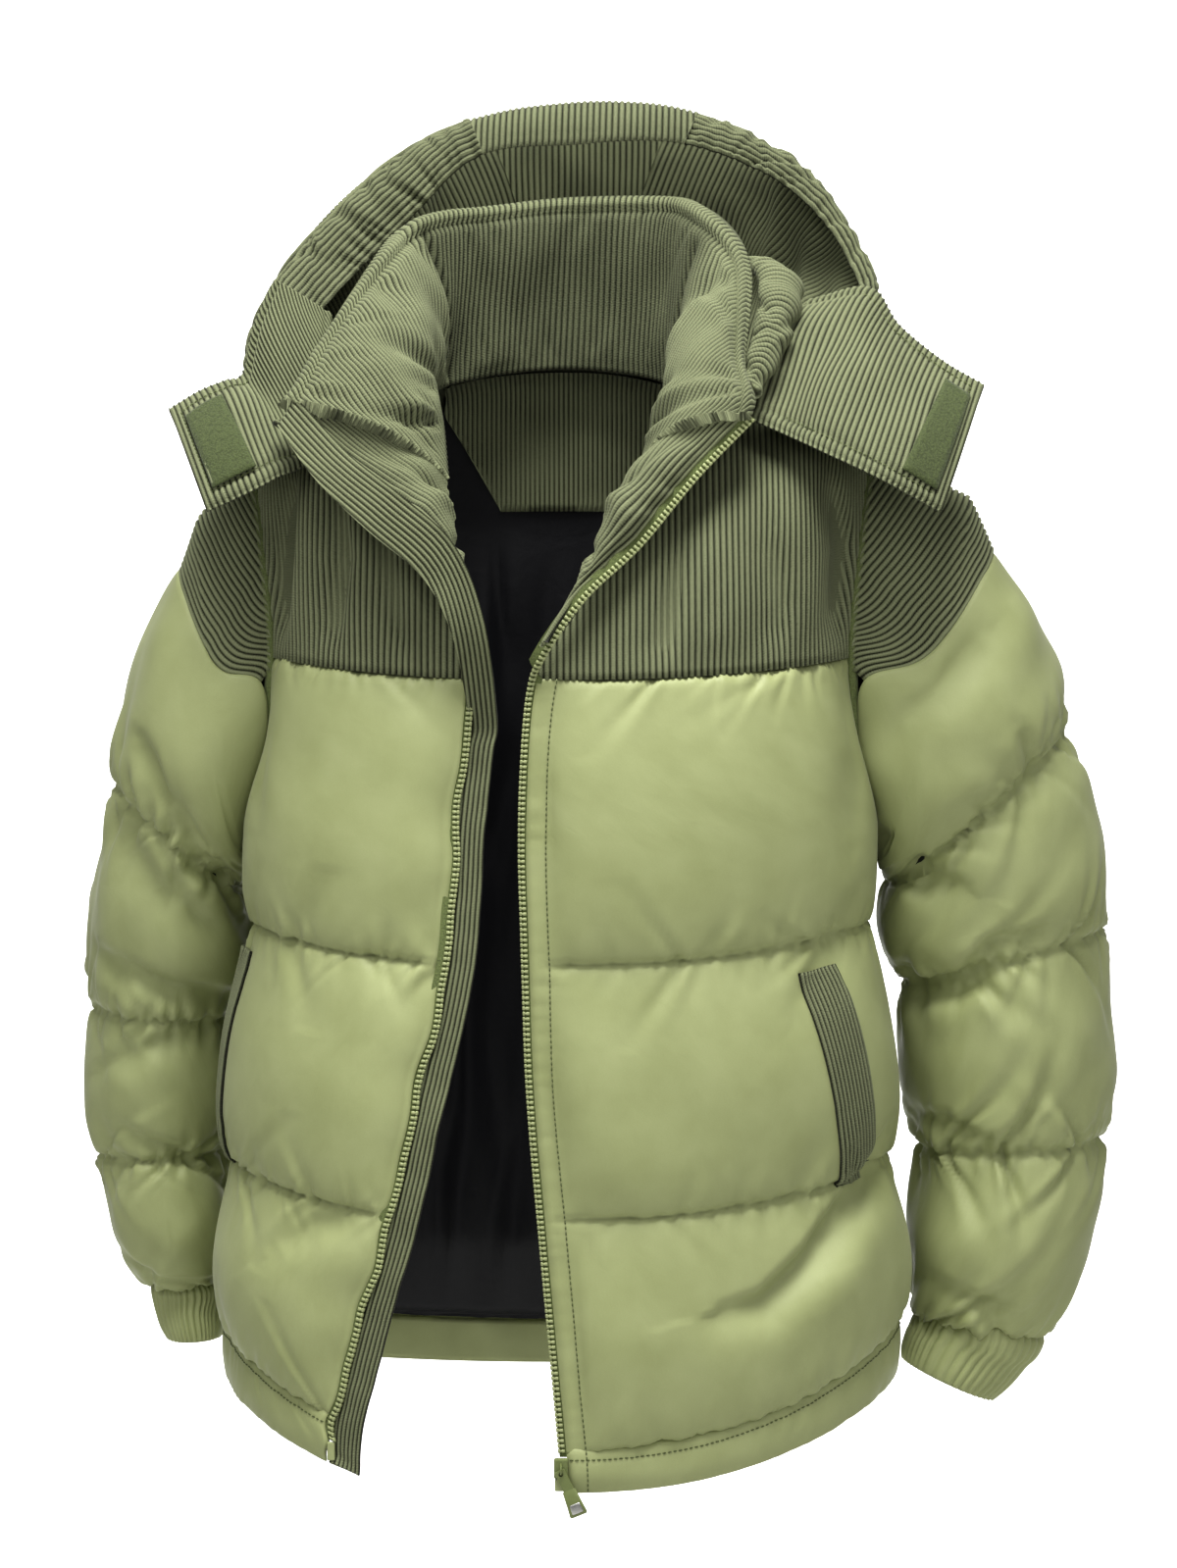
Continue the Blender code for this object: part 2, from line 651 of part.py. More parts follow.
def zip_edge(side, station, beyond, depth):
    """Point beside a front's edge: beyond it by one distance, and under it by another."""
    angle = edge_angle(side, station, -beyond)
    near = front_point(side, angle, station)
    across = front_point(side, angle + 0.5, station) - near
    along = front_point(side, angle, station + 0.02) - near
    normal = across.cross(along).normalized()
    return near - normal * depth * (1 if normal.y < 0 else -1)


def edge_strip(table, side, near, far, depth, first, last, count):
    """Adds the rows of a strip that follows a front's edge."""
    for station in np.linspace(first, last, count):
        inner = zip_edge(side, station, near, depth)
        outer = zip_edge(side, station, far, depth)
        table["edge_%.2f" % station] = (*inner, *outer, 0)


def make_wind_flap():
    """Corduroy strip behind the right zip edge, turned out at its top."""
    table = dict(WIND_FLAP_TOP)
    edge_strip(table, "right", WIND_FLAP_NEAR, WIND_FLAP_FAR, 0, STATION["yoke_seam"] + 0.3,
               STATION["hem"], 11)
    wall("wind_flap", band(table), 26, 1, "corduroy", -1, 1)


def make_hood():
    """Hood panels, its elastic face band, the throat flaps and their fastenings."""
    angles = column(HOOD, HOOD_COLUMNS, "angle")
    rows = np.array(HOOD, float)

    def lines(angle):
        """Neck seam, back, crown and rim of the arch at an angle."""
        row = dict(zip(HOOD_COLUMNS, through(angles, rows, angle)))
        turn = math.radians(angle)
        out = Vector((math.sin(turn), 0, math.cos(turn)))
        middle = Vector((HOOD_CENTRE_X, 0, 0))
        made = [Vector((row["neck_x"], row["neck_y"], row["neck_z"]))]
        for name in ("back", "crown", "rim"):
            made.append(middle + out * row[name + "_reach"] + Vector((0, row[name + "_y"], 0)))
        return made

    def shell(first, last):
        def surface(u, v):
            neck, back, crown, rim = lines(first + (last - first) * u)
            pull = back * 2 - (neck + crown) / 2
            t = 0.02 + 0.975 * v
            return neck * (1 - t) ** 2 + pull * 2 * t * (1 - t) + crown * t * t
        return surface

    gap = 0.15
    left, right = HOOD_SEAMS
    for name, first, last, count in (("hood_side_right", angles[0], left - gap, 9),
                                     ("hood_centre", left + gap, right - gap, 5),
                                     ("hood_side_left", right + gap, angles[-1], 9)):
        wall(name, shell(first, last), count, 9, "corduroy", -HOOD_THICK / 2, HOOD_THICK / 2)

    def face_band(u, v):
        neck, back, crown, rim = lines(angles[0] + (angles[-1] - angles[0]) * u)
        out = (crown - Vector((HOOD_CENTRE_X, crown.y, 0))).normalized()
        lift = (out * 0.8 + Vector((0, -0.6, 0))) * HOOD_BAND_ROLL * math.sin(math.pi * v)
        return crown.lerp(rim, v) + out + lift + Vector((0, -HOOD_BAND_FORWARD, 0))

    wall("hood_band", face_band, 24, 3, "corduroy", -1, HOOD_BAND_THICK - 1)

    for name, table, turn in (("hood_flap_left", FLAP_LEFT, -1), ("hood_flap_right", FLAP_RIGHT, 1)):
        wall(name, band(table, turn), 6, 5, "corduroy", turn, -turn * (FLAP_THICK - 1))
    for name, (table, along, across) in PATCHES.items():
        turn = -1 if table is FLAP_LEFT else 1
        flap = band(table, turn)

        def piece(u, v, flap=flap, along=along, across=across):
            return flap(along[0] + (along[1] - along[0]) * u, across[0] + (across[1] - across[0]) * v)

        wall(name, piece, 2, 5, "hook_and_loop", turn * (2 + PATCH_THICK), turn * 2)


# ---------------------------------------------------------------- pockets and zip

def make_pocket(side):
    """Corduroy welt on the front, made from the front's own points moved out."""
    turn = -1 if side == "left" else 1
    span = trimmed(STATION["yoke_seam"], STATION["hem_seam"], STATION_SPACING)
    panel = facets(front_patch(side, span), padded(span, FRONT_FADE, turn)[0], *FRONT_GRID)
    top_angle, bottom_angle, wide_angle = POCKETS[side]
    first, last = POCKET_STATIONS

    def surface(u, v):
        station = first + (last - first) * v
        angle = top_angle + (bottom_angle - top_angle) * v + wide_angle * u
        low, high = -turn * edge_angle(side, station), side_angle("front", station)
        return panel((angle - low) / (high - low), (station - span[0]) / (span[1] - span[0]))

    wall("pocket_welt_" + side, surface, 2, 8, "corduroy", turn * WELT_THICK, turn * POCKET_GAP)


def block(name, place, size, rounding):
    """A rounded block."""
    bpy.ops.mesh.primitive_cube_add(size=1, location=Vector(place) * MM)
    made = bpy.context.object
    made.name = made.data.name = name
    made.data.transform(Matrix.Diagonal((*(Vector(size) * MM), 1)))
    bevel = made.modifiers.new("rounded", "BEVEL")
    bevel.width = rounding * MM
    bevel.segments = 2
    return made


def keep(made, cloth):
    """Moves a piece into the jacket's collection and gives it its material."""
    for held in list(made.users_collection):
        held.objects.unlink(made)
    bpy.data.collections["hooded_puffer_jacket"].objects.link(made)
    made.data.materials.clear()
    made.data.materials.append(material(cloth))


def cutter(made):
    """Marks a shape that only cuts or joins another."""
    made.hide_render = True
    made.display_type = "WIRE"
    for held in list(made.users_collection):
        held.objects.unlink(made)
    bpy.data.collections["cutters"].objects.link(made)
    return made


def boolean(made, other, operation):
    """Adds an exact Boolean with another shape."""
    step = made.modifiers.new(operation.lower(), "BOOLEAN")
    step.object = cutter(other)
    step.operation = operation
    step.solver = "EXACT"


def make_teeth():
    """A moulded row of teeth along each front edge, from the lapel's corner to the hem."""
    near, far = 0.9, 0.9 + ZIP_TEETH_WIDTH
    beside = Vector((0.75, 0, -0.66))
    for side, turn, count in (("left", -1, 34), ("right", 1, 20)):
        table = {}
        foot = STATION["hem_seam"] + (0.05 if side == "left" else 0.4)
        if side == "left":
            for name, row in list(FACING_LEFT.items())[:-1]:
                edge = Vector(row[3:6])
                table[name] = (*(edge + beside * (far + 0.8)), *(edge + beside * (near + 0.8)), 0)
            table["fold"] = ZIP_FOLD
        edge_strip(table, side, near, far, 0, STATION["yoke_seam"] + 0.1, foot, 12)
        wall("zip_teeth_" + side, band(table), count, 1, "zip_teeth", turn, -turn * (ZIP_TEETH_THICK - 1))


def make_slider():
    """Slider with its bail, on the box that ends the left edge, and the pin of the right edge."""
    place = Vector(SLIDER_PLACE)
    slider = block("slider", place, SLIDER_SIZE, 1.0)
    centre = place + Vector((0, -SLIDER_SIZE[1] / 2 - BAIL_FORWARD, 0))
    curve = bpy.data.curves.new("bail", "CURVE")
    curve.dimensions = "3D"
    curve.bevel_depth = BAIL_WIRE_RADIUS * MM
    curve.bevel_resolution = 2
    curve.use_fill_caps = True
    arch = [Vector((0, BAIL_FORWARD + 1.5, -BAIL_RADIUS))]
    for step in range(13):
        turn = math.radians(-90 + 15 * step)
        arch.append(Vector((0, -BAIL_RADIUS * math.cos(turn), BAIL_RADIUS * math.sin(turn))))
    arch.append(Vector((0, BAIL_FORWARD + 1.5, BAIL_RADIUS)))
    line = curve.splines.new("POLY")
    line.points.add(len(arch) - 1)
    for point, spot in zip(line.points, arch):
        point.co = (*((centre + spot) * MM), 1)
    wire = bpy.data.objects.new("bail", curve)
    bpy.context.scene.collection.objects.link(wire)
    bpy.context.view_layer.update()
    mesh = bpy.data.meshes.new_from_object(wire.evaluated_get(bpy.context.evaluated_depsgraph_get()))
    bpy.data.objects.remove(wire)
    shape = bmesh.new()
    shape.from_mesh(mesh)
    bmesh.ops.remove_doubles(shape, verts=shape.verts, dist=0.00001)
    shape.to_mesh(mesh)
    shape.free()
    bail = bpy.data.objects.new("bail", mesh)
    bpy.context.scene.collection.objects.link(bail)
    boolean(slider, bail, "UNION")
    keep(slider, "painted_zinc")

    drop = SLIDER_SIZE[2] / 2 + SEAM_GAP + BOX_SIZE[2] / 2
    keep(block("zip_box", place + Vector((0, 0, -drop)), BOX_SIZE, 0.8), "zip_teeth")
    foot = zip_edge("right", STATION["hem_seam"] + 0.4, 3.4, -0.5) + Vector((0, 0, -PIN_SIZE[2] / 2 - 0.6))
    keep(block("zip_pin", foot, PIN_SIZE, 0.8), "zip_teeth")
    make_pull_tab(centre)


def make_pull_tab(centre):
    """Tab that swings about the bail's centre, which is its object's origin."""
    wide, thick, long = PULL_SIZE
    top = PULL_HOLE_RADIUS + PULL_HOLE_RIM
    tab = block("pull_tab", centre, PULL_SIZE, 0.4)
    hang = Matrix.Rotation(math.radians(-PULL_TILT), 4, "Y")
    drop = Matrix.Translation(Vector((0, 0, -BAIL_RADIUS)) * MM)
    tab.data.transform(drop @ hang @ Matrix.Translation(Vector((0, 0, top - long / 2)) * MM))
    bpy.ops.mesh.primitive_cylinder_add(vertices=24, radius=PULL_HOLE_RADIUS * MM, depth=thick * 3 * MM,
                                        location=(centre + Vector((0, 0, -BAIL_RADIUS))) * MM,
                                        rotation=(math.radians(90), 0, 0))
    hole = bpy.context.object
    hole.name = "pull_tab_hole"
    boolean(tab, hole, "DIFFERENCE")
    keep(tab, "painted_zinc")


def clear_scene():
    """Leaves the file with empty collections for the jacket and for its cutters."""
    for old in list(bpy.data.objects):
        bpy.data.objects.remove(old, do_unlink=True)
    for name in ("hooded_puffer_jacket", "cutters"):
        bpy.context.scene.collection.children.link(bpy.data.collections.new(name))


def main():
    clear_scene()
    for side in ("left", "right"):
        make_front(side)
        make_sleeve(side)
        make_pocket(side)
    make_back()
    make_collar()
    make_wind_flap()
    make_hood()
    make_teeth()
    make_slider()


main()
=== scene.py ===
"""Hooded puffer jacket: satin shell over wadding, wide-wale corduroy trims, dark lining.

Left and right are the wearer's. Tables are in millimetres and degrees, +Z up, front to -Y.
"""
import math

import bpy
import numpy as np
from bpy.props import FloatProperty, PointerProperty, StringProperty
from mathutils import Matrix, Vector


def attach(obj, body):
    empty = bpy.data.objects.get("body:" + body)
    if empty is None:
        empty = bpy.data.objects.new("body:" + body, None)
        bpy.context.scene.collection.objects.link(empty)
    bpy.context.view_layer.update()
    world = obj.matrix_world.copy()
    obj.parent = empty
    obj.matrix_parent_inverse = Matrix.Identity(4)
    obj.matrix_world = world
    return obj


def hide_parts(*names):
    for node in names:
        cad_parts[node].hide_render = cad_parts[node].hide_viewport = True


bl_info = {
    "name": "Hooded puffer jacket",
    "version": (1, 0, 0),
    "blender": (4, 5, 0),
    "location": "View3D > Sidebar > Jacket",
    "description": "Sews a padded, hooded jacket piece by piece",
    "category": "Object",
}

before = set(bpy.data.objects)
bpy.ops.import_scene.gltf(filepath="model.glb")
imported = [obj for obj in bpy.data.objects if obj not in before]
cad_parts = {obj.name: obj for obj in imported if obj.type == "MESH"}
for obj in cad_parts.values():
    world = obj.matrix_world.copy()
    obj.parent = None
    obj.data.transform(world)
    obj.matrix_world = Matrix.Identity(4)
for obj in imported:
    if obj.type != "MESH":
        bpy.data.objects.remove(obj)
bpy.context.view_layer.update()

MM = 0.001
BODY_NAME = "jacket"
SIDES = ("left", "right")
SIGN = {"left": 1, "right": -1}
SEAM_GAP = -0.3           # sewn seams close up, so the cloths just overlap
CENTRE_X = -18.0
ROUNDNESS = 2.3
ARMHOLE_GAP = 2.6
STATION_SPACING = 30.0
PUFF_OUT = 13.0
PUFF_IN = 8.0
SLEEVE_PUFF = 10.0

# The body's form, at its seams and halfway between them.
BODY_COLUMNS = ("z_front", "z_side", "z_back", "half_width", "depth_left", "depth_right", "depth_back")
BODY = {
    "neck":         (-70, -2, 18, 92, 76, 76, 76),
    "mid_shoulder": (-90, -12, 6, 142, 98, 98, 96),
    "shoulder_tip": (-110, -32, -20, 200, 114, 116, 110),
    "upper_chest":  (-146, -98, -82, 204, 125, 128, 118),
    "yoke_seam":    (-188, -176, -160, 198, 132, 136, 120),
    "channel_1":    (-280, -270, -258, 200, 138, 148, 120),
    "seam_2":       (-373, -356, -350, 206, 143, 160, 121),
    "channel_2":    (-456, -436, -434, 214, 147, 172, 124),
    "seam_3":       (-538, -514, -516, 220, 150, 184, 127),
    "channel_3":    (-614, -570, -584, 223, 153, 194, 129),
    "hem_seam":     (-690, -626, -652, 226, 156, 200, 130),
    "hem":          (-716, -660, -684, 227, 156, 202, 130),
}
STATION = {name: float(number) for number, name in enumerate(BODY)}
QUILT_SEAMS = tuple(STATION[name] for name in ("yoke_seam", "seam_2", "seam_3", "hem_seam"))
EDGE_COLUMNS = ("left", "right")
FRONT_EDGE = ((44, -100), (34, -96), (14, -90), (-8, -84), (-33, -79), (-40, -88),
              (-38, -95), (-35, -113), (-28, -131), (-21, -151), (-14, -168), (-13, -170))
ARMHOLE_COLUMNS = ("station", "front_angle", "back_angle")
ARMHOLE = ((2.0, 90, 90), (2.35, 80, 77), (3.0, 74, 68), (4.0, 73, 67), (4.6, 77, 72), (5.2, 90, 90))

# Sleeve rings, from the cap to the end of the cuff: outer x and z, inner x and z, middle y and
# half depth.
SLEEVES = {
    "left": ((256, -72, 204, -312, 6, 64), (296, -160, 208, -322, 16, 72), (322, -232, 205, -334, 26, 74),
             (340, -300, 207, -366, 36, 74), (348, -366, 216, -402, 42, 74), (350, -440, 224, -458, 44, 72),
             (349, -510, 229, -516, 44, 69), (336, -575, 230, -574, 38, 64), (311, -646, 226, -632, 30, 42),
             (296, -666, 221, -646, 26, 37), (276, -687, 217, -661, 22, 34)),
    "right": ((-262, -86, -240, -312, 12, 62), (-296, -176, -240, -324, 30, 70),
              (-320, -268, -239, -340, 50, 73), (-331, -340, -236, -384, 68, 73),
              (-340, -424, -246, -430, 82, 73), (-338, -476, -251, -478, 88, 71),
              (-338, -526, -253, -524, 88, 68), (-322, -574, -253, -572, 84, 62),
              (-302, -618, -252, -614, 76, 40), (-297, -634, -256, -634, 70, 36),
              (-290, -652, -256, -652, 64, 33)),
}
SLEEVE_SEAMS = (3.0, 5.0, 7.0, 9.0)
SLEEVE_CUT = SEAM_GAP / 2 / 60    # half the gap at a seam, in rings, which are about 60 mm apart
RING_DROP = 62.0                  # distance from ring to ring, as the sleeves' gathers take it
CAP_EDGE = ((0, 1.4), (36, 1.34), (72, 1.06), (90, 0.74), (108, 0.22), (126, 0.0))

# Bands: a row gives the inner edge's point, the outer edge's point and the bow between them.
COLLAR = (
    (-93, -88, -60, -202, -101, -8, 9), (-97, -62, -28, -194, -92, 2, 12), (-104, -32, -2, -178, -58, 32, 12),
    (-109, 8, 0, -147, 4, 85, 12), (-98, 48, 4, -124, 54, 113, 6), (-62, 71, 11, -76, 84, 124, 3),
    (-16, 80, 15, -10, 97, 131, 2), (30, 70, 11, 62, 84, 130, 3), (60, 44, 4, 92, 46, 116, 6),
    (68, 0, 2, 108, -4, 82, 12), (55, -44, -9, 104, -62, 20, 12), (42, -66, -34, 109, -96, -4, 11),
    (36, -86, -54, 106, -106, -18, 9),
)
COLLAR_THICK = 11.0
FACINGS = {
    "left": ((36, -82, -47, 104, -102, -16, 9), (20, -104, -70, 66, -116, -55, 10),
             (6, -122, -97, 30, -130, -98, 8), (-11, -137, -137, -6, -141, -132, 3),
             (-31, -147, -166, -28, -148, -162, 0)),
    "right": ((-94, -80, -50, -206, -99, -19, 8), (-90, -99, -70, -156, -117, -62, 9),
              (-86, -121, -95, -117, -134, -91, 7), (-79, -140, -126, -86, -146, -121, 3),
              (-74, -150, -154, -78, -152, -150, 0)),
}
FACING_THICK = 11.0
WIND_FLAP_TOP = ((-202, -108, -24, -190, -103, -6, 0), (-179, -130, -56, -154, -127, -43, 0),
                 (-144, -147, -90, -119, -145, -70, 0), (-106, -157, -122, -86, -157, -100, 0),
                 (-87, -160, -160, -67, -160, -148, 0))
WIND_FLAP_NEAR = 2.4      # its edges, beyond the edge of the right front
WIND_FLAP_FAR = 22.0
# The hood's arch: an angle, the neck seam's x, y and z, then the reach and y of the back, of the
# crown and of the rim.
HOOD = (
    (-90, -150, -38, -8, 172, -6, 213, -16, 197, -28), (-85, -138, 6, -5, 174, 42, 221, 4, 194, -8),
    (-73, -126, 42, -2.8, 164, 88, 216, 32, 178, 22), (-56, -108, 76, -1.8, 150, 132, 208, 68, 164, 60),
    (-40, -84, 98, -1.5, 130, 162, 203, 92, 162, 74), (-24, -58, 110, -1, 112, 182, 200, 102, 172, 76),
    (0, -16, 116, -0.8, 100, 192, 198, 106, 168, 76), (29, 34, 106, -0.7, 112, 184, 211, 100, 188, 72),
    (50, 64, 82, -0.7, 132, 156, 218, 78, 202, 54), (64, 86, 46, -1.7, 148, 112, 214, 48, 204, 26),
    (71, 98, 14, -2.7, 158, 70, 211, 24, 202, 4), (78, 112, -32, -4.7, 158, 20, 196, 2, 186, -14),
    (84, 122, -64, -11, 152, -28, 172, -18, 164, -30),
)
HOOD_CENTRE_X = -10.0
HOOD_SEAMS = (-19.0, 20.0)
HOOD_OVERLAP = 0.02       # the panels' overlap at a seam, in degrees
HOOD_BAND_ENDS = (-90.0, -21.0, 24.0, 84.0)
HOOD_BAND_WIDE = 62
HOOD_BAND_FORWARD = 3.1
HOOD_BAND_ROLL = 9.0
FLAP_STITCH = 8.5         # distance of a flap's stitches from its edge
FLAP_SIZES = {"left": (135, 110), "right": (150, 75)}
FLAPS = {
    "left": ((150, -2, 62, 96, -70, -14, 4), (189, -6, 70, 122, -83, -26, 5),
             (208, -16, 44, 152, -108, -40, 8), (236, -30, 20, 190, -118, -58, 7),
             (262, -46, 4, 230, -108, -80, 3)),
    "right": ((-210, -14, 74, -170, -34, 50, 3), (-224, -18, 44, -170, -58, 8, 4),
              (-231, -24, 12, -181, -81, -43, 5), (-242, -31, 7, -203, -101, -57, 8),
              (-259, -33, 0, -224, -107, -68, 8), (-278, -46, -12, -249, -104, -79, 3)),
}
PATCHES = {"hook_patch": ("left", (0.80, 0.95), (0.16, 0.90)),
           "loop_patch": ("right", (0.68, 0.93), (0.20, 0.88))}
NECK_ROLL = ((100, 34, 86, 130, 34, 74, 9), (111, -4, 78, 144, -8, 60, 10), (110, -42, 46, 134, -46, 30, 10),
             (100, -74, 6, 112, -84, -6, 6))
NECK_FACING = ((0.2, 47), (1.0, 32), (2.0, 20), (3.0, 9.7))
# A welt's angles at its top and its bottom, and its width in degrees.
POCKETS = {"left": (44.5, 53.0, 12.0), "right": (75.0, 79.0, 8.5)}
POCKET_STATIONS = (6.2, 8.03)
ZIP_FOLD = (-26, -142, -172, -31, -142, -170, 0)
FRONT_FADE = (0.10, 0.12)

# Widths and lengths that place the edges, stitches and gathers of the pieces.
COLLAR_TALL, COLLAR_ROUND = 116, 700
LAPEL_WIDE, LAPEL_LONG = 60, 170
NECK_ROLL_WIDE, NECK_ROLL_LONG = 36, 120
PATCH_WIDE, PATCH_LONG = 24, 70
WELT_WIDE, WIND_FLAP_WIDE, NECK_FACING_WIDE, YOKE_WIDE = 28, 16, 190, 230
HEM_TALL, HEM_TUCK = 37, 3.5
BINDING_INSET, BINDING_RADIUS = 3.5, 5.2


# ---- sizes and colours to change

class JacketSizes(bpy.types.PropertyGroup):
    wale: FloatProperty(name="Wale", description="Width of one corduroy rib", default=0.0043,
                        unit="LENGTH", min=0.002, max=0.01)
    narrow_wale: FloatProperty(name="Narrow wale", default=0.0034, unit="LENGTH", min=0.002, max=0.01,
                               description="Width of a rib on the wind flap, welts and neck facing")
    wale_height: FloatProperty(name="Wale height", description="Height of a rib over its groove",
                               default=0.0018, unit="LENGTH", min=0.0, max=0.003)
    shell_step: FloatProperty(name="Shell step", description="Spacing of the shell's points",
                              default=0.003, unit="LENGTH", min=0.0015, max=0.01)
    strip: FloatProperty(name="Zip strip", description="Flat strip of shell beside the zip",
                         default=0.013, unit="LENGTH", min=0.005, max=0.03)
    tooth: FloatProperty(name="Tooth pitch", description="Pitch of the moulded zip teeth",
                         default=0.0034, unit="LENGTH", min=0.002, max=0.006)
    stitch: FloatProperty(name="Stitch", description="Length of a topstitch with its space",
                          default=0.0036, unit="LENGTH", min=0.002, max=0.006)


class JacketColours(bpy.types.PropertyGroup):
    satin: StringProperty(name="Satin", description="Shell of sage green satin", default="#A3A97C")
    satin_dark: StringProperty(name="Satin, dark", description="Its darker threads", default="#949A6C")
    corduroy: StringProperty(name="Corduroy", description="Tops of the ribs", default="#868B6C")
    # Painted shade: the grooves between the ribs are drawn in this dark colour.
    groove: StringProperty(name="Groove", description="Ground between the ribs", default="#1F2116")
    lining: StringProperty(name="Lining", description="Dark inner taffeta", default="#0F0F14")
    teeth: StringProperty(name="Zip teeth", description="Moulded teeth", default="#A9B080")
    tape: StringProperty(name="Zip tape", description="Woven tape", default="#7E8A55")
    paint: StringProperty(name="Slider", description="Enamelled slider", default="#7C8654")
    thread: StringProperty(name="Thread", description="Topstitching", default="#6F7A48")
    hook: StringProperty(name="Touch tape", description="Hook and loop tape", default="#59643A")


# ---- curves and forms

def smooth(value):
    share = np.clip(value, 0, 1)
    return share * share * (3 - 2 * share)


def bell(away, width):
    """1 at no distance away, and falling off over a width."""
    return np.exp(-(away / width) ** 2)


def through(places, values, at):
    """Smooth curve through a table's values at an array of places."""
    places = np.asarray(places, float)
    values = np.asarray(values, float)
    slopes = np.gradient(values, places, axis=0)
    at = np.clip(np.asarray(at, float), places[0], places[-1])
    low = np.clip(np.searchsorted(places, at, side="right") - 1, 0, len(places) - 2)
    step = places[low + 1] - places[low]
    t = (at - places[low]) / step
    if values.ndim > 1:
        t, step = t[..., None], step[..., None]
    return ((1 + 2 * t) * (1 - t) ** 2 * values[low] + t * (1 - t) ** 2 * step * slopes[low]
            + t * t * (3 - 2 * t) * values[low + 1] + t * t * (t - 1) * step * slopes[low + 1])


def body_value(name, station):
    rows = [row[BODY_COLUMNS.index(name)] for row in BODY.values()]
    return through(range(len(BODY)), rows, station)


def bent(value):
    return np.sign(value) * np.abs(value) ** (2 / ROUNDNESS)


def unit(vectors):
    return vectors / np.maximum(np.linalg.norm(vectors, axis=-1, keepdims=True), 1e-9)


def gone_along(line):
    """Distance gone at each point of a line."""
    return np.concatenate(([0], np.cumsum(np.linalg.norm(np.diff(line, axis=0), axis=1))))


def gone_across(grid):
    """Distance gone at each point of a grid, along its rows."""
    step = np.linalg.norm(np.diff(grid, axis=1), axis=-1)
    return np.concatenate((np.zeros((len(grid), 1)), np.cumsum(step, 1)), 1)


def spread(u, v):
    """Two numbers or arrays as arrays of one shape."""
    return np.broadcast_arrays(np.asarray(u, float), np.asarray(v, float))


def evenly(columns, rows):
    """Even places u and v of a grid."""
    return np.linspace(0, 1, columns)[None, :], np.linspace(0, 1, rows)[:, None]


def body_point(face, side, angle, station):
    """Points of the front or back: angle 0 is its middle, +90 the left side seam."""
    turn = np.radians(angle)
    x = CENTRE_X + body_value("half_width", station) * bent(np.sin(turn))
    depth = "depth_back" if face == "back" else "depth_" + side
    y = body_value(depth, station) * bent(np.cos(turn)) * (1 if face == "back" else -1)
    z = body_value("z_side", station)
    fall = body_value("z_" + face, station) - z
    return np.stack(np.broadcast_arrays(x, y, z + fall * np.cos(turn) ** 2), -1)


def edge_angle(side, station, inset=0.0, waved=True):
    """Angle of a front's edge, moved into the front by inset. The right one is waved by its zip."""
    x = through(range(len(BODY)), [row[EDGE_COLUMNS.index(side)] for row in FRONT_EDGE], station)
    if side == "right" and waved:
        below = smooth((np.asarray(station, float) - 4.2) / 0.6)
        x = x + below * (0.9 * np.sin(station * 6.1) + 0.8 * np.sin(station * 9.7 + 1))
    x = x + SIGN[side] * inset
    share = np.clip((x - CENTRE_X) / body_value("half_width", station), -1, 1)
    return np.degrees(np.arcsin(np.sign(share) * np.abs(share) ** (ROUNDNESS / 2)))


def side_angle(face, station):
    """Angle of the shoulder line, armhole or side seam."""
    station = np.asarray(station, float)
    stations = [row[0] for row in ARMHOLE]
    angles = [row[ARMHOLE_COLUMNS.index(face + "_angle")] for row in ARMHOLE]
    inside = (station > stations[0]) & (station < stations[-1])
    return np.where(inside, through(stations, angles, station), 90.0)


def patch(face, side, low_angle, high_angle, first, last):
    """Surface between two angles over a span of stations."""
    def surface(u, v):
        u, v = spread(u, v)
        station = first + (last - first) * v
        low, high = low_angle(station), high_angle(station)
        ends = body_point(face, side, high, station) - body_point(face, side, low, station)
        half = (high - low) / 2 * (1 - SEAM_GAP / np.maximum(np.linalg.norm(ends, axis=-1), 1))
        return body_point(face, side, (high + low) / 2 + half * (2 * u - 1), station)
    return surface


def front_surface(side, first, last):
    """A front from its edge to the armhole or side seam. u runs away from the zip."""
    return patch("front", side, lambda s: edge_angle(side, s),
                 lambda s: SIGN[side] * side_angle("front", s), first, last)


def back_surface(first, last):
    return patch("back", "", lambda s: -side_angle("back", s), lambda s: side_angle("back", s), first, last)


def trimmed(first, last):
    cut = SEAM_GAP / 2 / STATION_SPACING
    return first + cut, last - cut


def band(table, turn=1):
    """Surface between two edges: u along the band, v from its inner to its outer edge."""
    rows = np.array(table, float)
    places = np.linspace(0, 1, len(rows))

    def surface(u, v):
        u, v = spread(u, v)
        row = through(places, rows, u)
        before = through(places, rows, np.clip(u - 0.01, 0, 1))
        after = through(places, rows, np.clip(u + 0.01, 0, 1))
        inner, outer = row[..., 0:3], row[..., 3:6]
        along = after[..., 0:3] + after[..., 3:6] - before[..., 0:3] - before[..., 3:6]
        lift = unit(np.cross(along, outer - inner)) * turn
        return inner + (outer - inner) * v[..., None] + lift * (row[..., 6] * 4 * v * (1 - v))[..., None]
    return surface


def armhole_point(side, angle):
    share = (1 - np.cos(np.radians(angle))) / 2
    station = ARMHOLE[0][0] + (ARMHOLE[-1][0] - ARMHOLE[0][0]) * share
    sign = SIGN[side]
    front = body_point("front", side, sign * side_angle("front", station), station)
    back = body_point("back", side, sign * side_angle("back", station), station)
    return np.where(((angle % 360) <= 180)[..., None], front, back)


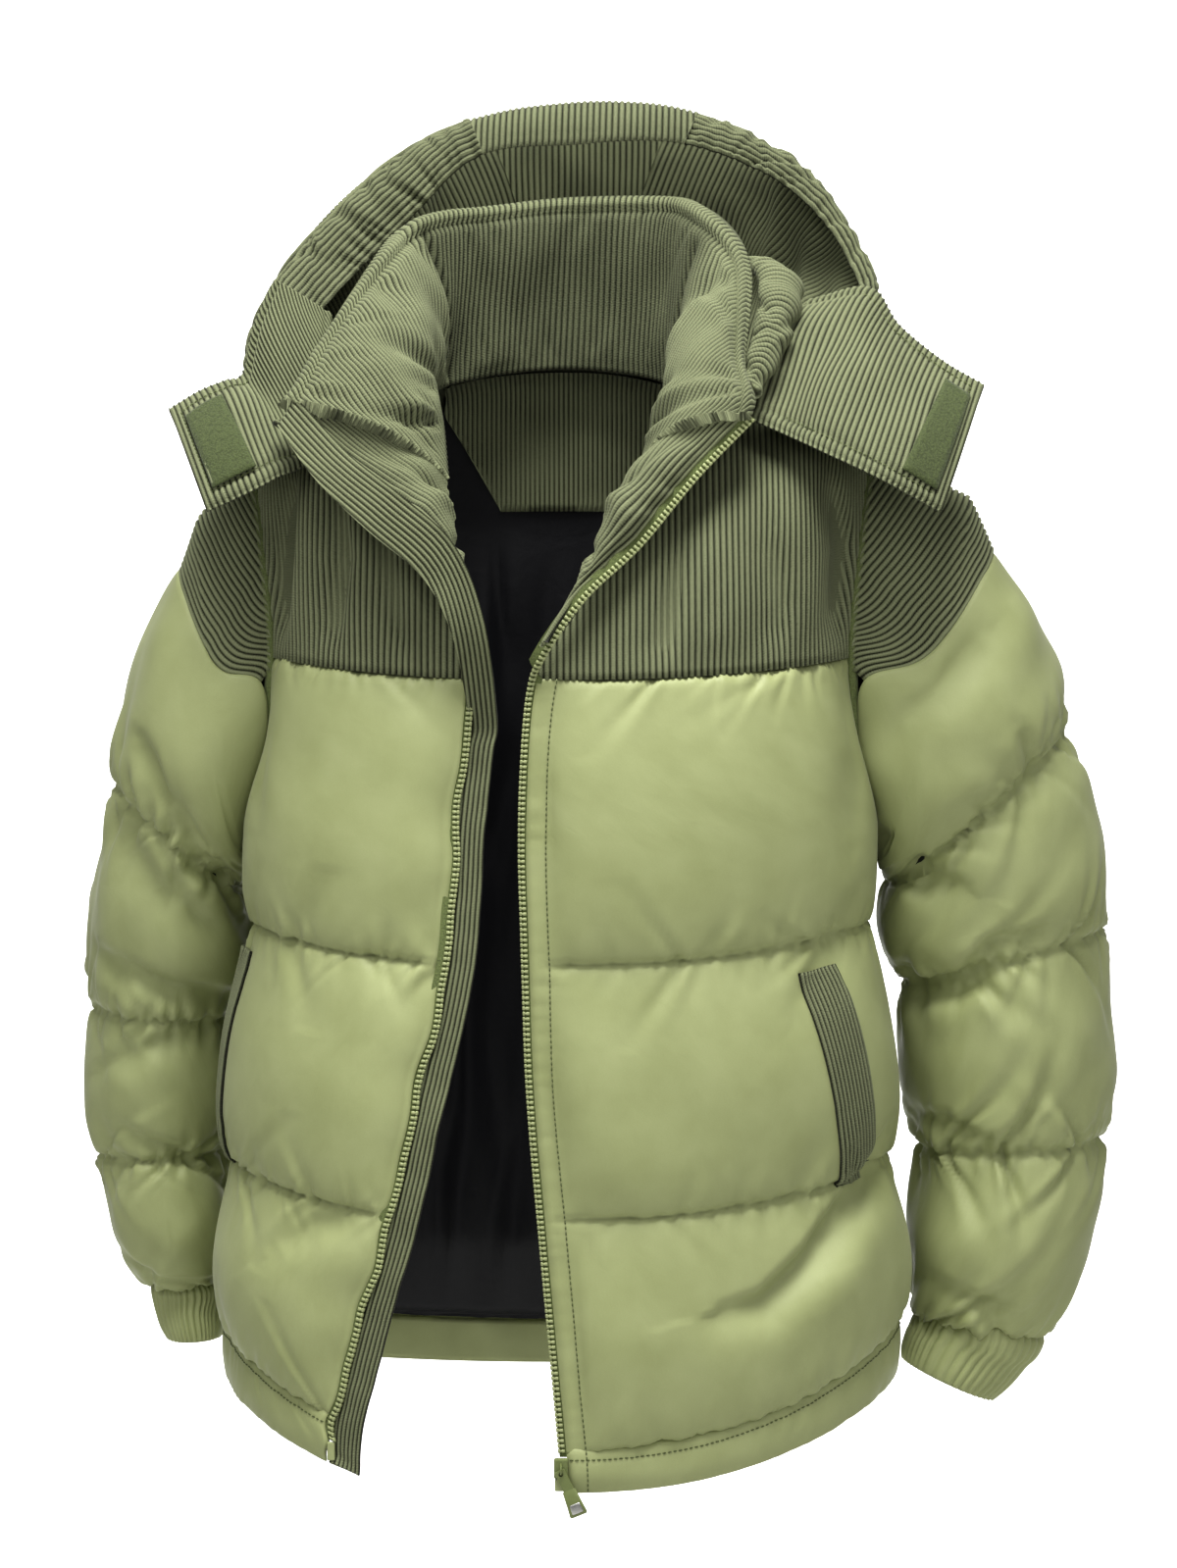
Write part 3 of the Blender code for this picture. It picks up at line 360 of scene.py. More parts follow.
def sleeve_point(side, angle, reach):
    """Points of a sleeve: angle 0 outside, 90 in front, and how many rings down."""
    angle, reach = spread(angle, reach)
    rings = np.array(SLEEVES[side], float)
    values = through(range(1, len(rings) + 1), rings, np.maximum(reach, 1))
    turn = np.radians(angle)
    outer = np.stack((values[..., 0], np.zeros_like(turn), values[..., 1]), -1)
    inner = np.stack((values[..., 2], np.zeros_like(turn), values[..., 3]), -1)
    ring = (outer + inner) / 2 + (outer - inner) / 2 * np.cos(turn)[..., None]
    ring[..., 1] = values[..., 4] - values[..., 5] * np.sin(turn)
    start = armhole_point(side, angle) + np.array((SIGN[side] * ARMHOLE_GAP, 0, 0))
    ease = reach * reach * (3 - 2 * reach) * 0.3 + reach * 0.7
    return np.where((reach >= 1)[..., None], ring, start + (ring - start) * ease[..., None])


def cap_reach(angle):
    turn = np.abs((np.asarray(angle, float) + 180) % 360 - 180)
    angles = [row[0] for row in CAP_EDGE]
    return np.where(turn > angles[-1], 0, through(angles, [row[1] for row in CAP_EDGE], turn))


def hood_lines(angle):
    """Neck seam, back, crown and rim of the hood's arch at an angle."""
    rows = np.array(HOOD, float)
    row = through(rows[:, 0], rows, angle)
    turn = np.radians(angle)
    out = np.stack((np.sin(turn), np.zeros_like(turn), np.cos(turn)), -1)
    lines = [row[..., 1:4]]
    for place in (4, 6, 8):
        line = out * row[..., place, None]
        line[..., 0] += HOOD_CENTRE_X
        line[..., 1] += row[..., place + 1]
        lines.append(line)
    return lines


def hood_shell(first, last):
    def surface(u, v):
        u, v = spread(u, v)
        neck, back, crown, _ = hood_lines(first + (last - first) * u)
        pull = back * 2 - (neck + crown) / 2
        t = (0.02 + 0.975 * v)[..., None]
        return neck * (1 - t) ** 2 + pull * 2 * t * (1 - t) + crown * t * t
    return surface


def hood_band_surface(first, last):
    def surface(u, v):
        u, v = spread(u, v)
        _, _, crown, rim = hood_lines(first + (last - first) * u)
        middle = crown.copy()
        middle[..., 0], middle[..., 2] = HOOD_CENTRE_X, 0
        out = unit(crown - middle)
        roll = (HOOD_BAND_ROLL * np.sin(np.pi * v))[..., None]
        place = crown + (rim - crown) * v[..., None] + out
        return place + (out * 0.8 + np.array((0, -0.6, 0))) * roll + np.array((0, -HOOD_BAND_FORWARD, 0))
    return surface


# ---- folds and padding

def rise(share):
    """Height of a padded channel, 0 at its seams and 1 in the middle."""
    return np.maximum(0, np.sin(np.pi * np.clip(share, 0, 1))) ** 0.55


def channel_place(place, seams):
    """Share of the way through the channel that a place lies in."""
    seams = np.asarray(seams, float)
    low = np.clip(np.searchsorted(seams, place, side="right") - 1, 0, len(seams) - 2)
    return np.clip((place - seams[low]) / (seams[low + 1] - seams[low]), 0, 1)


def soft_noise(places, scale, seed, waves=9):
    """Smooth irregular height from -1 to 1 over points, as a sum of seeded waves."""
    random = np.random.default_rng(seed)
    made = np.zeros(places.shape[:-1])
    for _ in range(waves):
        way = unit(random.normal(size=places.shape[-1]))
        length = scale * random.uniform(0.7, 1.6)
        made += np.sin(places @ way * (2 * np.pi / length) + random.uniform(0, 2 * np.pi))
    return made / math.sqrt(waves)


def puckers(across, away, seed, spacing, depth, length, lean=0.5, broad=1.0):
    """Short gathers that run off a seam: across is the place along it, away the distance from it."""
    random = np.random.default_rng(seed)
    made = np.zeros(np.broadcast(across, away).shape)
    place, end = float(np.min(across)), float(np.max(across))
    while place < end:
        wide = random.uniform(1.6, 4.2) * broad
        long = length * random.uniform(0.35, 1.5)
        deep = depth * random.uniform(0.3, 1.3)
        slant = random.normal(0, lean)
        offset = (across - place - slant * away) / (wide * (1 + away / 26))
        dent = 0.55 * np.exp(-(offset - 1.3) ** 2) - np.exp(-offset ** 2)
        made += deep * dent * np.exp(-(away / long) ** 1.6)
        place += spacing * random.uniform(0.4, 1.7)
    return made


CREASE_LIP = 0.24


def crease(points, path, depth, sharp, soft):
    """A fold along a path of (x, z) places, steep on its left and soft on its right."""
    path = np.array(path, float)
    flat = points[..., [0, 2]]
    best = np.full(flat.shape[:-1], 1e9)
    signed = np.zeros_like(best)
    along = np.zeros_like(best)
    ways = np.diff(path, axis=0)
    lengths = np.linalg.norm(ways, axis=1)
    starts = np.concatenate(([0], np.cumsum(lengths)))
    for start, way, length, gone in zip(path, ways, lengths, starts):
        rel = flat - start
        t = np.clip((rel @ way) / length ** 2, 0, 1)
        gap = rel - t[..., None] * way
        distance = np.linalg.norm(gap, axis=-1)
        side = np.sign(way[0] * rel[..., 1] - way[1] * rel[..., 0])
        closer = distance < best
        best = np.where(closer, distance, best)
        signed = np.where(closer, side * distance, signed)
        along = np.where(closer, (gone + t * length) / starts[-1], along)
    taper = np.sin(np.pi * np.clip(along, 0.04, 0.96)) ** 0.6
    width = np.where(signed > 0, sharp, soft)
    groove = -bell(signed, width)
    lip = CREASE_LIP * np.exp(-((signed + 1.9 * soft) / (1.3 * soft)) ** 2)
    return depth * taper * (groove + lip)


# ---- meshes

def normals(grid, closed=False):
    """Unit normals of a grid of points, by rows and columns."""
    if closed:
        across = np.roll(grid, -1, 1) - np.roll(grid, 1, 1)
    else:
        across = np.gradient(grid, axis=1)
    return unit(np.cross(across, np.gradient(grid, axis=0)))


def flat_places(grid, closed=False):
    """Distance across and along the cloth, in millimetres, for its pattern."""
    if closed:
        grid = np.concatenate((grid, grid[:, :1]), 1)
    step = np.linalg.norm(np.diff(grid, axis=0), axis=-1)
    along = np.concatenate((np.zeros((1, grid.shape[1])), np.cumsum(step, 0)), 0)
    return np.stack((gone_across(grid), along), -1)


class Skins:
    """Gathers grids of points into one mesh, with its pattern places and attributes."""

    def __init__(self):
        self.points, self.flat, self.values, self.count = [], [], [], 0
        self.faces, self.corners, self.slots = [], [], []

    def place(self, points, flat, values):
        """Adds points, with their places on the flat cloth and how pale their pile is drawn, painted shade
        and light included.
        """
        self.points.append(points)
        self.flat.append(flat)
        self.values.append(values)
        self.count += len(points)

    def face(self, faces, slot=0, corners=None):
        """Adds faces of four points each. corners are their places on the cloth, where known."""
        self.faces.append(faces)
        self.corners.append(corners)
        self.slots.append(np.full(len(faces), slot))

    def grid(self, points, flat, value=None, slot=0, closed=False, flip=False):
        """Adds a grid. A closed one's flat places have a column more, where it meets itself."""
        rows, columns = points.shape[:2]
        number = self.count + np.arange(rows * columns).reshape(rows, columns)
        wrapped = np.concatenate((number, number[:, :1]), 1) if closed else number
        places = flat if flat.shape[1] == wrapped.shape[1] else np.concatenate((flat, flat[:, :1]), 1)
        made, corners = [
            np.stack((grid[:-1, :-1], grid[:-1, 1:], grid[1:, 1:], grid[1:, :-1]), 2).reshape(
                -1, 4, *grid.shape[2:]) for grid in (wrapped, places)]
        self.face(made[:, ::-1] if flip else made, slot, corners[:, ::-1] if flip else corners)
        self.place(points.reshape(-1, 3), places[:, :columns].reshape(-1, 2),
                   np.ones(rows * columns) if value is None else np.asarray(value, float).ravel())
        return number

    def join(self, fine, coarse, flip=False):
        """Closes the gap between two loops, of which the first has a whole number times the edges."""
        ratio = (len(fine) - 1) // (len(coarse) - 1)
        made = []
        for edge in range(len(coarse) - 1):
            chain = fine[edge * ratio: (edge + 1) * ratio + 1]
            a, b = coarse[edge], coarse[edge + 1]
            if ratio == 1:
                made.append((chain[0], chain[1], b, a))
                continue
            half = ratio // 2
            made += [(chain[step], chain[step + 1], *(a if step < half else b,) * 2) for step in range(ratio)]
            made.append((chain[half], b, a, a))
        made = np.array(made)
        if flip:
            made = made[:, ::-1] if ratio == 1 else made[:, [1, 0, 2, 3]]
        self.face(made)

    def mesh(self, name, cloths):
        """Makes the object. A face whose last two corners agree is a triangle."""
        faces = np.concatenate(self.faces)
        flat = np.concatenate(self.flat)
        corners = np.concatenate([flat[face] if known is None else known
                                  for face, known in zip(self.faces, self.corners)])
        kept = np.ones(faces.shape, bool)
        kept[:, 3] = faces[:, 2] != faces[:, 3]
        sides = kept.sum(1)
        mesh = bpy.data.meshes.new(name)
        mesh.vertices.add(self.count)
        mesh.vertices.foreach_set("co", (np.concatenate(self.points) * MM).astype(np.float32).ravel())
        mesh.loops.add(int(sides.sum()))
        mesh.loops.foreach_set("vertex_index", faces[kept].astype(np.int32))
        mesh.polygons.add(len(faces))
        mesh.polygons.foreach_set("loop_start", (np.cumsum(sides) - sides).astype(np.int32))
        mesh.polygons.foreach_set("material_index", np.concatenate(self.slots).astype(np.int32))
        mesh.update(calc_edges=True)
        mesh.uv_layers.new(name="cut").data.foreach_set("uv", (corners[kept] * MM).astype(np.float32).ravel())
        # How pale the pile is drawn: on corduroy, painted shade in the grooves and painted light and shade
        # per piece.
        pile = mesh.attributes.new("pile", "FLOAT", "POINT")
        pile.data.foreach_set("value", np.concatenate(self.values).astype(np.float32))
        for cloth in cloths:
            mesh.materials.append(material(cloth))
        mesh.validate()
        mesh.shade_smooth()
        made = bpy.data.objects.new(name, mesh)
        bpy.context.scene.collection.objects.link(made)
        return made


def double(name, outer, inner, cloths, values=(None, None), closed=False, slots=(0, 1),
           flats=(None, None), turn=1):
    """A piece with an outer and an inner face joined all round. The inner grid may be coarser.

    turn is -1 where the columns run the other way, seen from outside.
    """
    def turned(grid):
        return grid if grid is None or turn > 0 else grid[:, ::-1]

    skins = Skins()
    rims = []
    for face, grid in enumerate((outer, inner)):
        points, flat = turned(grid), turned(flats[face])
        flat = flat_places(points, closed) if flat is None else flat
        number = skins.grid(points, flat, turned(values[face]), slots[face], closed, flip=face == 1)
        rims.append(np.concatenate((number, number[:, :1]), 1) if closed else number)
    a, b = rims
    skins.join(a[0], b[0], flip=True)
    skins.join(a[-1], b[-1])
    if not closed:
        skins.join(a[:, 0], b[:, 0])
        skins.join(a[:, -1], b[:, -1], flip=True)
    return skins.mesh(name, cloths)


def piece(made, nodes=(), body=BODY_NAME):
    """Puts a piece on its body, in place of its solids."""
    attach(made, body)
    if nodes:
        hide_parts(*nodes)
    return made


# ---- materials

def linear(colour, share=1):
    """A colour of sRGB hex digits as linear values, or a darker share of it."""
    values = [int(colour[place:place + 2], 16) / 255 for place in (1, 3, 5)]
    return (*[share * (v / 12.92 if v <= 0.04045 else ((v + 0.055) / 1.055) ** 2.4) for v in values], 1)


def node(tree, kind, settings=None, out=0, into=None, **links):
    """Adds a node with its settings and its inputs, as values or as outputs of other nodes.

    Gives the output named or numbered by out, which goes into an input of the shader if one
    is named.
    """
    made = tree.nodes.new("ShaderNode" + kind)
    for name, value in (settings or {}).items():
        setattr(made, name, value)
    for name, value in links.items():
        spot = made.inputs[int(name[1:])] if name[0] == "_" else made.inputs[name.replace("_", " ")]
        if isinstance(value, bpy.types.NodeSocket):
            tree.links.new(value, spot)
        else:
            spot.default_value = value
    if into:
        tree.links.new(made.outputs[out], tree.nodes["Principled BSDF"].inputs[into])
    return made.outputs[out]


CUT = {"uv_map": "cut"}
PAINT = ({"data_type": "RGBA"}, 2, "Base Color")     # a Mix node's third output is its colour
MULTIPLY_ADD = {"operation": "MULTIPLY_ADD"}


def start(name, roughness, **sockets):
    """A material with its shader's inputs set, and its tree."""
    made = bpy.data.materials.new(name)
    made.use_nodes = True
    shader = made.node_tree.nodes["Principled BSDF"]
    for socket, value in (("Roughness", roughness), *sockets.items()):
        shader.inputs[socket.replace("_", " ")].default_value = value
    return made, made.node_tree


def colours():
    return bpy.context.scene.jacket_colours


def sizes():
    return bpy.context.scene.jacket_sizes


def satin_material(name):
    """Satin-faced polyester: long floats give a soft broad gloss and fine cross threads.

    Its threads, 0.1 mm apart, are too fine to show, so they are drawn 1.1 by 0.4 mm. Its
    colour drifts over 40 mm, and its crinkles are 13 mm long.
    """
    made, tree = start(name, 0.55, Sheen_Weight=0.1, Sheen_Roughness=0.4, Specular_IOR_Level=0.34)
    places = node(tree, "UVMap", CUT)
    threads = node(tree, "Mapping", Vector=places, Scale=(900, 2600, 1))
    weave = node(tree, "TexNoise", Vector=threads, Scale=1.0, Detail=2.0)
    cloud = node(tree, "TexNoise", Vector=places, Scale=26.0, Detail=3.0)
    creased = node(tree, "TexNoise", Vector=places, Scale=75.0, Detail=4.0, Distortion=0.6)
    mixed = node(tree, "Math", MULTIPLY_ADD, _0=weave, _1=0.55, _2=cloud)
    level = node(tree, "MapRange", _0=mixed, _1=0.45, _2=1.1)
    node(tree, "Mix", *PAINT, _0=level, _6=linear(colours().satin_dark),
         _7=linear(colours().satin))
    node(tree, "MapRange", into="Roughness", _0=cloud, _1=0.3, _2=0.7, _3=0.48, _4=0.6)
    fine = node(tree, "Bump", Strength=0.10, Distance=0.0004, Height=weave)
    node(tree, "Bump", into="Normal", Strength=0.16, Distance=0.0012, Height=creased, Normal=fine)
    return made


def corduroy_material(name):
    """Wide-wale corduroy: brushed cotton ribs, pale on top, painted dark in the grooves as their shade,
    knitted in chevrons.

    The chevrons are rows of pile 1.7 mm apart, which lean away from the middle of each rib.
    The tufts between them are 1.1 mm wide, and the wear drifts over 33 mm.
    """
    made, tree = start(name, 0.92, Sheen_Weight=0.06, Sheen_Roughness=0.5, Specular_IOR_Level=0.15)
    places = node(tree, "UVMap", CUT)
    pile = node(tree, "Attribute", {"attribute_name": "pile"}, "Fac")
    across = node(tree, "SeparateXYZ", Vector=places)
    down = across.node.outputs["Y"]
    ribs = node(tree, "Math", {"operation": "DIVIDE"}, _0=across, _1=sizes().wale)
    half = node(tree, "Math", {"operation": "PINGPONG"}, _0=ribs, _1=0.5)
    rows = node(tree, "Math", {"operation": "DIVIDE"}, _0=down, _1=0.0017)
    lean = node(tree, "Math", MULTIPLY_ADD, _0=half, _1=1.6, _2=rows)
    turn = node(tree, "Math", {"operation": "MULTIPLY"}, _0=lean, _1=2 * math.pi)
    wave = node(tree, "Math", {"operation": "SINE"}, _0=turn)
    fuzz = node(tree, "TexNoise", Vector=places, Scale=900.0, Detail=3.0)
    cloud = node(tree, "TexNoise", Vector=places, Scale=30.0, Detail=3.0)
    knit = node(tree, "Math", MULTIPLY_ADD, _0=wave, _1=0.16, _2=fuzz)
    # The pile attribute brings in the grooves' painted shade and each piece's painted light and shade; the
    # drifting wear is added to it.
    shade = node(tree, "Math", MULTIPLY_ADD, _0=knit, _1=0.7, _2=pile)
    worn = node(tree, "Math", MULTIPLY_ADD, _0=cloud, _1=0.25, _2=shade)
    level = node(tree, "MapRange", _0=worn, _1=0.5, _2=1.55)
    node(tree, "Mix", *PAINT, _0=level, _6=linear(colours().groove),
         _7=linear(colours().corduroy))
    node(tree, "Bump", into="Normal", Strength=0.5, Distance=0.0005, Height=knit)
    return made


def lining_material(name):
    """Dark taffeta lining: thin, a little shiny along its folds.

    Its slubs are drawn 1.4 by 17 mm, coarser than real ones so that they show, and its
    crinkles are 17 mm long.
    """
    made, tree = start(name, 0.48, Specular_IOR_Level=0.3, Sheen_Weight=0.05)
    places = node(tree, "UVMap", CUT)
    slubs = node(tree, "Mapping", Vector=places, Scale=(700, 60, 1))
    noise = node(tree, "TexNoise", Vector=slubs, Scale=1.0, Detail=3.0)
    node(tree, "Mix", *PAINT, _0=noise, _6=linear(colours().lining, 0.55),
         _7=linear(colours().lining))
    creased = node(tree, "TexNoise", Vector=places, Scale=60.0, Detail=4.0, Distortion=0.8)
    node(tree, "Bump", into="Normal", Strength=0.35, Distance=0.0012, Height=creased)
    return made


def moulded_material(name, colour, roughness=0.38):
    """Moulded acetal or enamelled zinc: an even colour with a faint orange-peel skin.

    The skin's grain is drawn 1.1 mm wide, and its colour drifts over 6 mm.
    """
    made, tree = start(name, roughness)
    places = node(tree, "TexCoord", out="Object")
    peel = node(tree, "TexNoise", Vector=places, Scale=900.0, Detail=2.0)
    cloud = node(tree, "TexNoise", Vector=places, Scale=160.0, Detail=2.0)
    node(tree, "Mix", *PAINT, _0=cloud, _6=linear(colour, 0.75), _7=linear(colour))
    node(tree, "Bump", into="Normal", Strength=0.15, Distance=0.0002, Height=peel)
    return made


def woven_material(name, colour, pitch):
    """Woven tape or spun thread: over and under threads at a pitch in metres, with 0.7 mm fuzz."""
    made, tree = start(name, 0.8, Sheen_Weight=0.2, Specular_IOR_Level=0.3)
    places = node(tree, "TexCoord", out="Object")
    threads = node(tree, "TexVoronoi", Vector=places, Scale=1 / pitch)
    fuzz = node(tree, "TexNoise", Vector=places, Scale=1500.0, Detail=2.0)
    mixed = node(tree, "Math", MULTIPLY_ADD, _0=threads, _1=0.8, _2=fuzz)
    level = node(tree, "MapRange", _0=mixed, _1=0.4, _2=1.2, _3=1.0, _4=0.0)
    node(tree, "Mix", *PAINT, _0=level, _6=linear(colour, 0.45), _7=linear(colour))
    node(tree, "Bump", into="Normal", Strength=0.6, Distance=0.0005, Height=level)
    return made


def bare_metal_material(name):
    """Tumbled bare zinc at the tab's foot: pale grey, with scratches 3.3 by 0.25 mm."""
    made, tree = start(name, 0.3, Metallic=1.0)
    places = node(tree, "TexCoord", out="Object")
    marks = node(tree, "Mapping", Vector=places, Scale=(300, 300, 4000))
    noise = node(tree, "TexNoise", Vector=marks, Scale=1.0, Detail=3.0)
    node(tree, "Mix", *PAINT, _0=noise, _6=linear("#8F8F8C"), _7=linear("#D6D6D2"))
    node(tree, "MapRange", into="Roughness", _0=noise, _3=0.22, _4=0.42)
    return made


def paper_material(name, glow):
    """Matt paper of the studio, lit by itself where it glows, with 250 mm drifts of tone."""
    made, tree = start(name, 0.95, Specular_IOR_Level=0.1, Emission_Color=(1, 1, 1, 1),
                       Emission_Strength=glow)
    places = node(tree, "TexCoord", out="Object")
    grain = node(tree, "TexNoise", Vector=places, Scale=4.0, Detail=3.0)
    node(tree, "Mix", *PAINT, _0=grain, _6=linear("#DEDEDB"), _7=linear("#E4E4E1"))
    return made


def material(name):
    """The material of a kind of cloth, plastic or metal, made once."""
    made = bpy.data.materials.get(name)
    if made is not None:
        return made
    maker, *wanted = {
        "satin_polyester": (satin_material,),
        "wide_wale_corduroy": (corduroy_material,),
        "taffeta_lining": (lining_material,),
        "moulded_acetal": (moulded_material, colours().teeth),
        "enamelled_zinc": (moulded_material, colours().paint, 0.35),
        "bare_zinc": (bare_metal_material,),
        "woven_tape": (woven_material, colours().tape, 0.0008),
        "spun_thread": (woven_material, colours().thread, 0.0006),
        "touch_tape": (woven_material, colours().hook, 0.0013),
    }[name]
    return maker(name, *wanted)


# ---- ribbed cloth

def rib_lines(surface, pitch, rows, anchor=0.0, measure=None, group=1):
    """Lines along v, evenly spaced across the cloth from the anchor, as a grid of (u, v).

    Returns u, v and the distance across the cloth in millimetres, each by rows and columns.
    measure gives another distance than the one along each row, from the points. A line that
    leaves the cloth follows its edge. The lines come in whole groups, from edge to edge.
    """
    places = np.linspace(0, 1, 240)
    heights = np.linspace(0, 1, 160)
    grid = surface(places[None, :], heights[:, None])
    if measure is None:
        arc = gone_across(grid)
        arc = arc - np.array([np.interp(anchor, places, row) for row in arc])[:, None]
    else:
        arc = measure(grid)
    low, high = arc[:, 0], arc[:, -1]
    first, last = low.min() + 0.02, high.max() - 0.02
    offsets = np.arange(math.ceil(first / pitch), math.floor(last / pitch) + 1) * pitch
    offsets = np.concatenate(([first], offsets[(offsets > first + 0.2) & (offsets < last - 0.2)]))
    spare = -len(offsets) % group + 1
    offsets = np.concatenate((offsets, np.linspace(offsets[-1], last, spare + 1)[1:]))
    table = np.array([np.interp(offsets, row, places) for row in arc])
    v = np.linspace(0, 1, rows)
    u = np.stack([np.interp(v, heights, line) for line in table.T], 1)
    edges = [np.interp(v, heights, edge)[:, None] for edge in (low, high)]
    return u, np.broadcast_to(v[:, None], u.shape), np.clip(offsets[None, :], *edges)


def along_x(surface, sign=1):
    """Measure for ribs that hang straight down: their spacing is even along the panel's foot."""
    foot = surface(np.linspace(0, 1, 300), np.ones(300))
    gone = gone_along(foot)
    places = foot[:, 0] * sign
    slope = (gone[-1] - gone[-20]) / (places[-1] - places[-20])

    def measure(points):
        x = points[..., 0] * sign
        made = np.interp(x, places, gone)
        made = np.where(x > places[-1], gone[-1] + (x - places[-1]) * slope, made)
        first = (gone[20] - gone[0]) / (places[20] - places[0])
        return np.where(x < places[0], (x - places[0]) * first, made)
    return measure


def rib_height(across, wale):
    """Height of the ribs from 0 in a groove to 1, at distances across the cloth."""
    return np.abs(np.sin(np.pi * across / wale)) ** 0.62


RIB_LINES = 3             # lines of points across each rib
PLAIN_PILE = 0.6          # how pale the plain back of a ribbed cloth is
FOLD_SHOWN_INSIDE = 0.7   # how much of a fold shows on the far face


def corduroy(name, nodes, surface, turn=1, rows=40, anchor=0.0, swap=False, near=1.0, far=-1.0,
             both=True, relief=None, measure=None, narrow=False, nap_and_painted_light=1.0):
    """A ribbed piece over a surface, in place of its nodes, with ribs along v, or along u where
    swapped.

    near and far are its faces' distances along the outward normal, as numbers or as functions
    of (u, v). relief adds folds, as a function of the points and (u, v). nap scales how pale the
    pile is drawn: above 1 it is painted light, below 1 painted shade. Without both, the far face
    is plain and coarser.
    """
    def swapped(u, v):
        return surface(v, u)

    def told(value, *places):
        return value(*places) if callable(value) else value

    used = swapped if swap else surface
    sign = turn * (-1 if swap else 1)
    coarse = 1 if both else RIB_LINES
    wale = (sizes().narrow_wale if narrow else sizes().wale) / MM
    u, v, across = rib_lines(used, wale / RIB_LINES, rows, anchor, measure, coarse)
    points = used(u, v)
    normal = exact_normals(used, u, v) * sign
    a, b = (v, u) if swap else (u, v)
    ribs = rib_height(across, wale)
    groove = sizes().wale_height / MM * (1 - ribs)
    folds = relief(points, a, b) if relief else np.zeros(u.shape)
    flat = np.stack((across, flat_places(points)[..., 1]), -1)
    outer = points + normal * (told(near, a, b) + folds - groove)[..., None]
    under = told(far, a, b) + folds * FOLD_SHOWN_INSIDE + (groove if both else 0)
    inner = points + normal * np.broadcast_to(under, u.shape)[..., None]
    # The pile values are the ribs, so the grooves are drawn dark as painted shade, scaled by the piece's
    # painted light and shade.
    values = ribs * told(nap_and_painted_light, a, b), (ribs if both else np.full(u.shape, PLAIN_PILE))[:, ::coarse]
    made = double(name, outer, inner[:, ::coarse], ("wide_wale_corduroy",), values, slots=(0, 0),
                  flats=(flat, flat[:, ::coarse]), turn=sign)
    return piece(made, nodes)


def exact_normals(surface, u, v, step=0.003, wrap=False):
    """Normals of a surface at places, from its own differences."""
    low, high = (u - step, u + step) if wrap else (np.clip(u - step, 0, 1), np.clip(u + step, 0, 1))
    across = surface(high, v) - surface(low, v)
    along = surface(u, np.clip(v + step, 0, 1)) - surface(u, np.clip(v - step, 0, 1))
    return unit(np.cross(across, along))


# ---- padded shell

def cut_size(points, closed=False):
    """Width, length and area in metres of the flat cloth that a grid of points stands for."""
    if closed:
        points = np.concatenate((points, points[:, :1]), 1)
    across, along = np.diff(points, axis=1), np.diff(points, axis=0)
    wide = np.linalg.norm(across, axis=-1).sum(1)
    long = np.linalg.norm(along, axis=-1).sum(0)
    area = np.linalg.norm(np.cross(across[:-1], along[:, :-1]), axis=-1).sum()
    return wide.max() * MM, long.max() * MM, area * MM * MM


def as_sheet(made, points, ease=1.0, closed=False):
    """Works out a sheet's width, length and area from its form, and keeps none of them. ease is what its ribs
    and turned edges take up, as a share.
    """
    wide, long, area = cut_size(points, closed)
    wide, area = wide * ease, area * ease
    area = min(area, wide * long)


def grid_surface(points):
    """A finished panel as a surface over its own columns and rows."""
    rows, columns = points.shape[:2]

    def surface(u, v):
        u, v = spread(u, v)
        across, down = np.clip(u, 0, 1) * (columns - 1), np.clip(v, 0, 1) * (rows - 1)
        left, top = np.minimum(across.astype(int), columns - 2), np.minimum(down.astype(int), rows - 2)
        a, b = (across - left)[..., None], (down - top)[..., None]
        return (points[top, left] * (1 - a) * (1 - b) + points[top, left + 1] * a * (1 - b)
                + points[top + 1, left] * (1 - a) * b + points[top + 1, left + 1] * a * b)
    return surface


# ---- shell of satin

PANELS = {}               # outer points of the finished panels, by name
FLAT_FOLD = 8.5           # the deepest fold where there is no padding
THINNEST = 1.6
SEAM_EASE = 34.0          # padding comes to its full height this far from an edge
BODY_DROP = 500           # length of the shell between its seams, and the widths of its panels
FRONT_ACROSS = 275
BACK_ACROSS = 500


def seam_places(count, seams, first, last):
    """Rows from first to last, an even number to each channel, with the seams on rows."""
    ends = [first, *[seam for seam in seams if first < seam < last], last]
    made = [np.linspace(a, b, max(2, 2 * round(count * (b - a) / (last - first) / 2)) + 1)[:-1]
            for a, b in zip(ends, ends[1:])]
    return np.concatenate((*made, [last]))


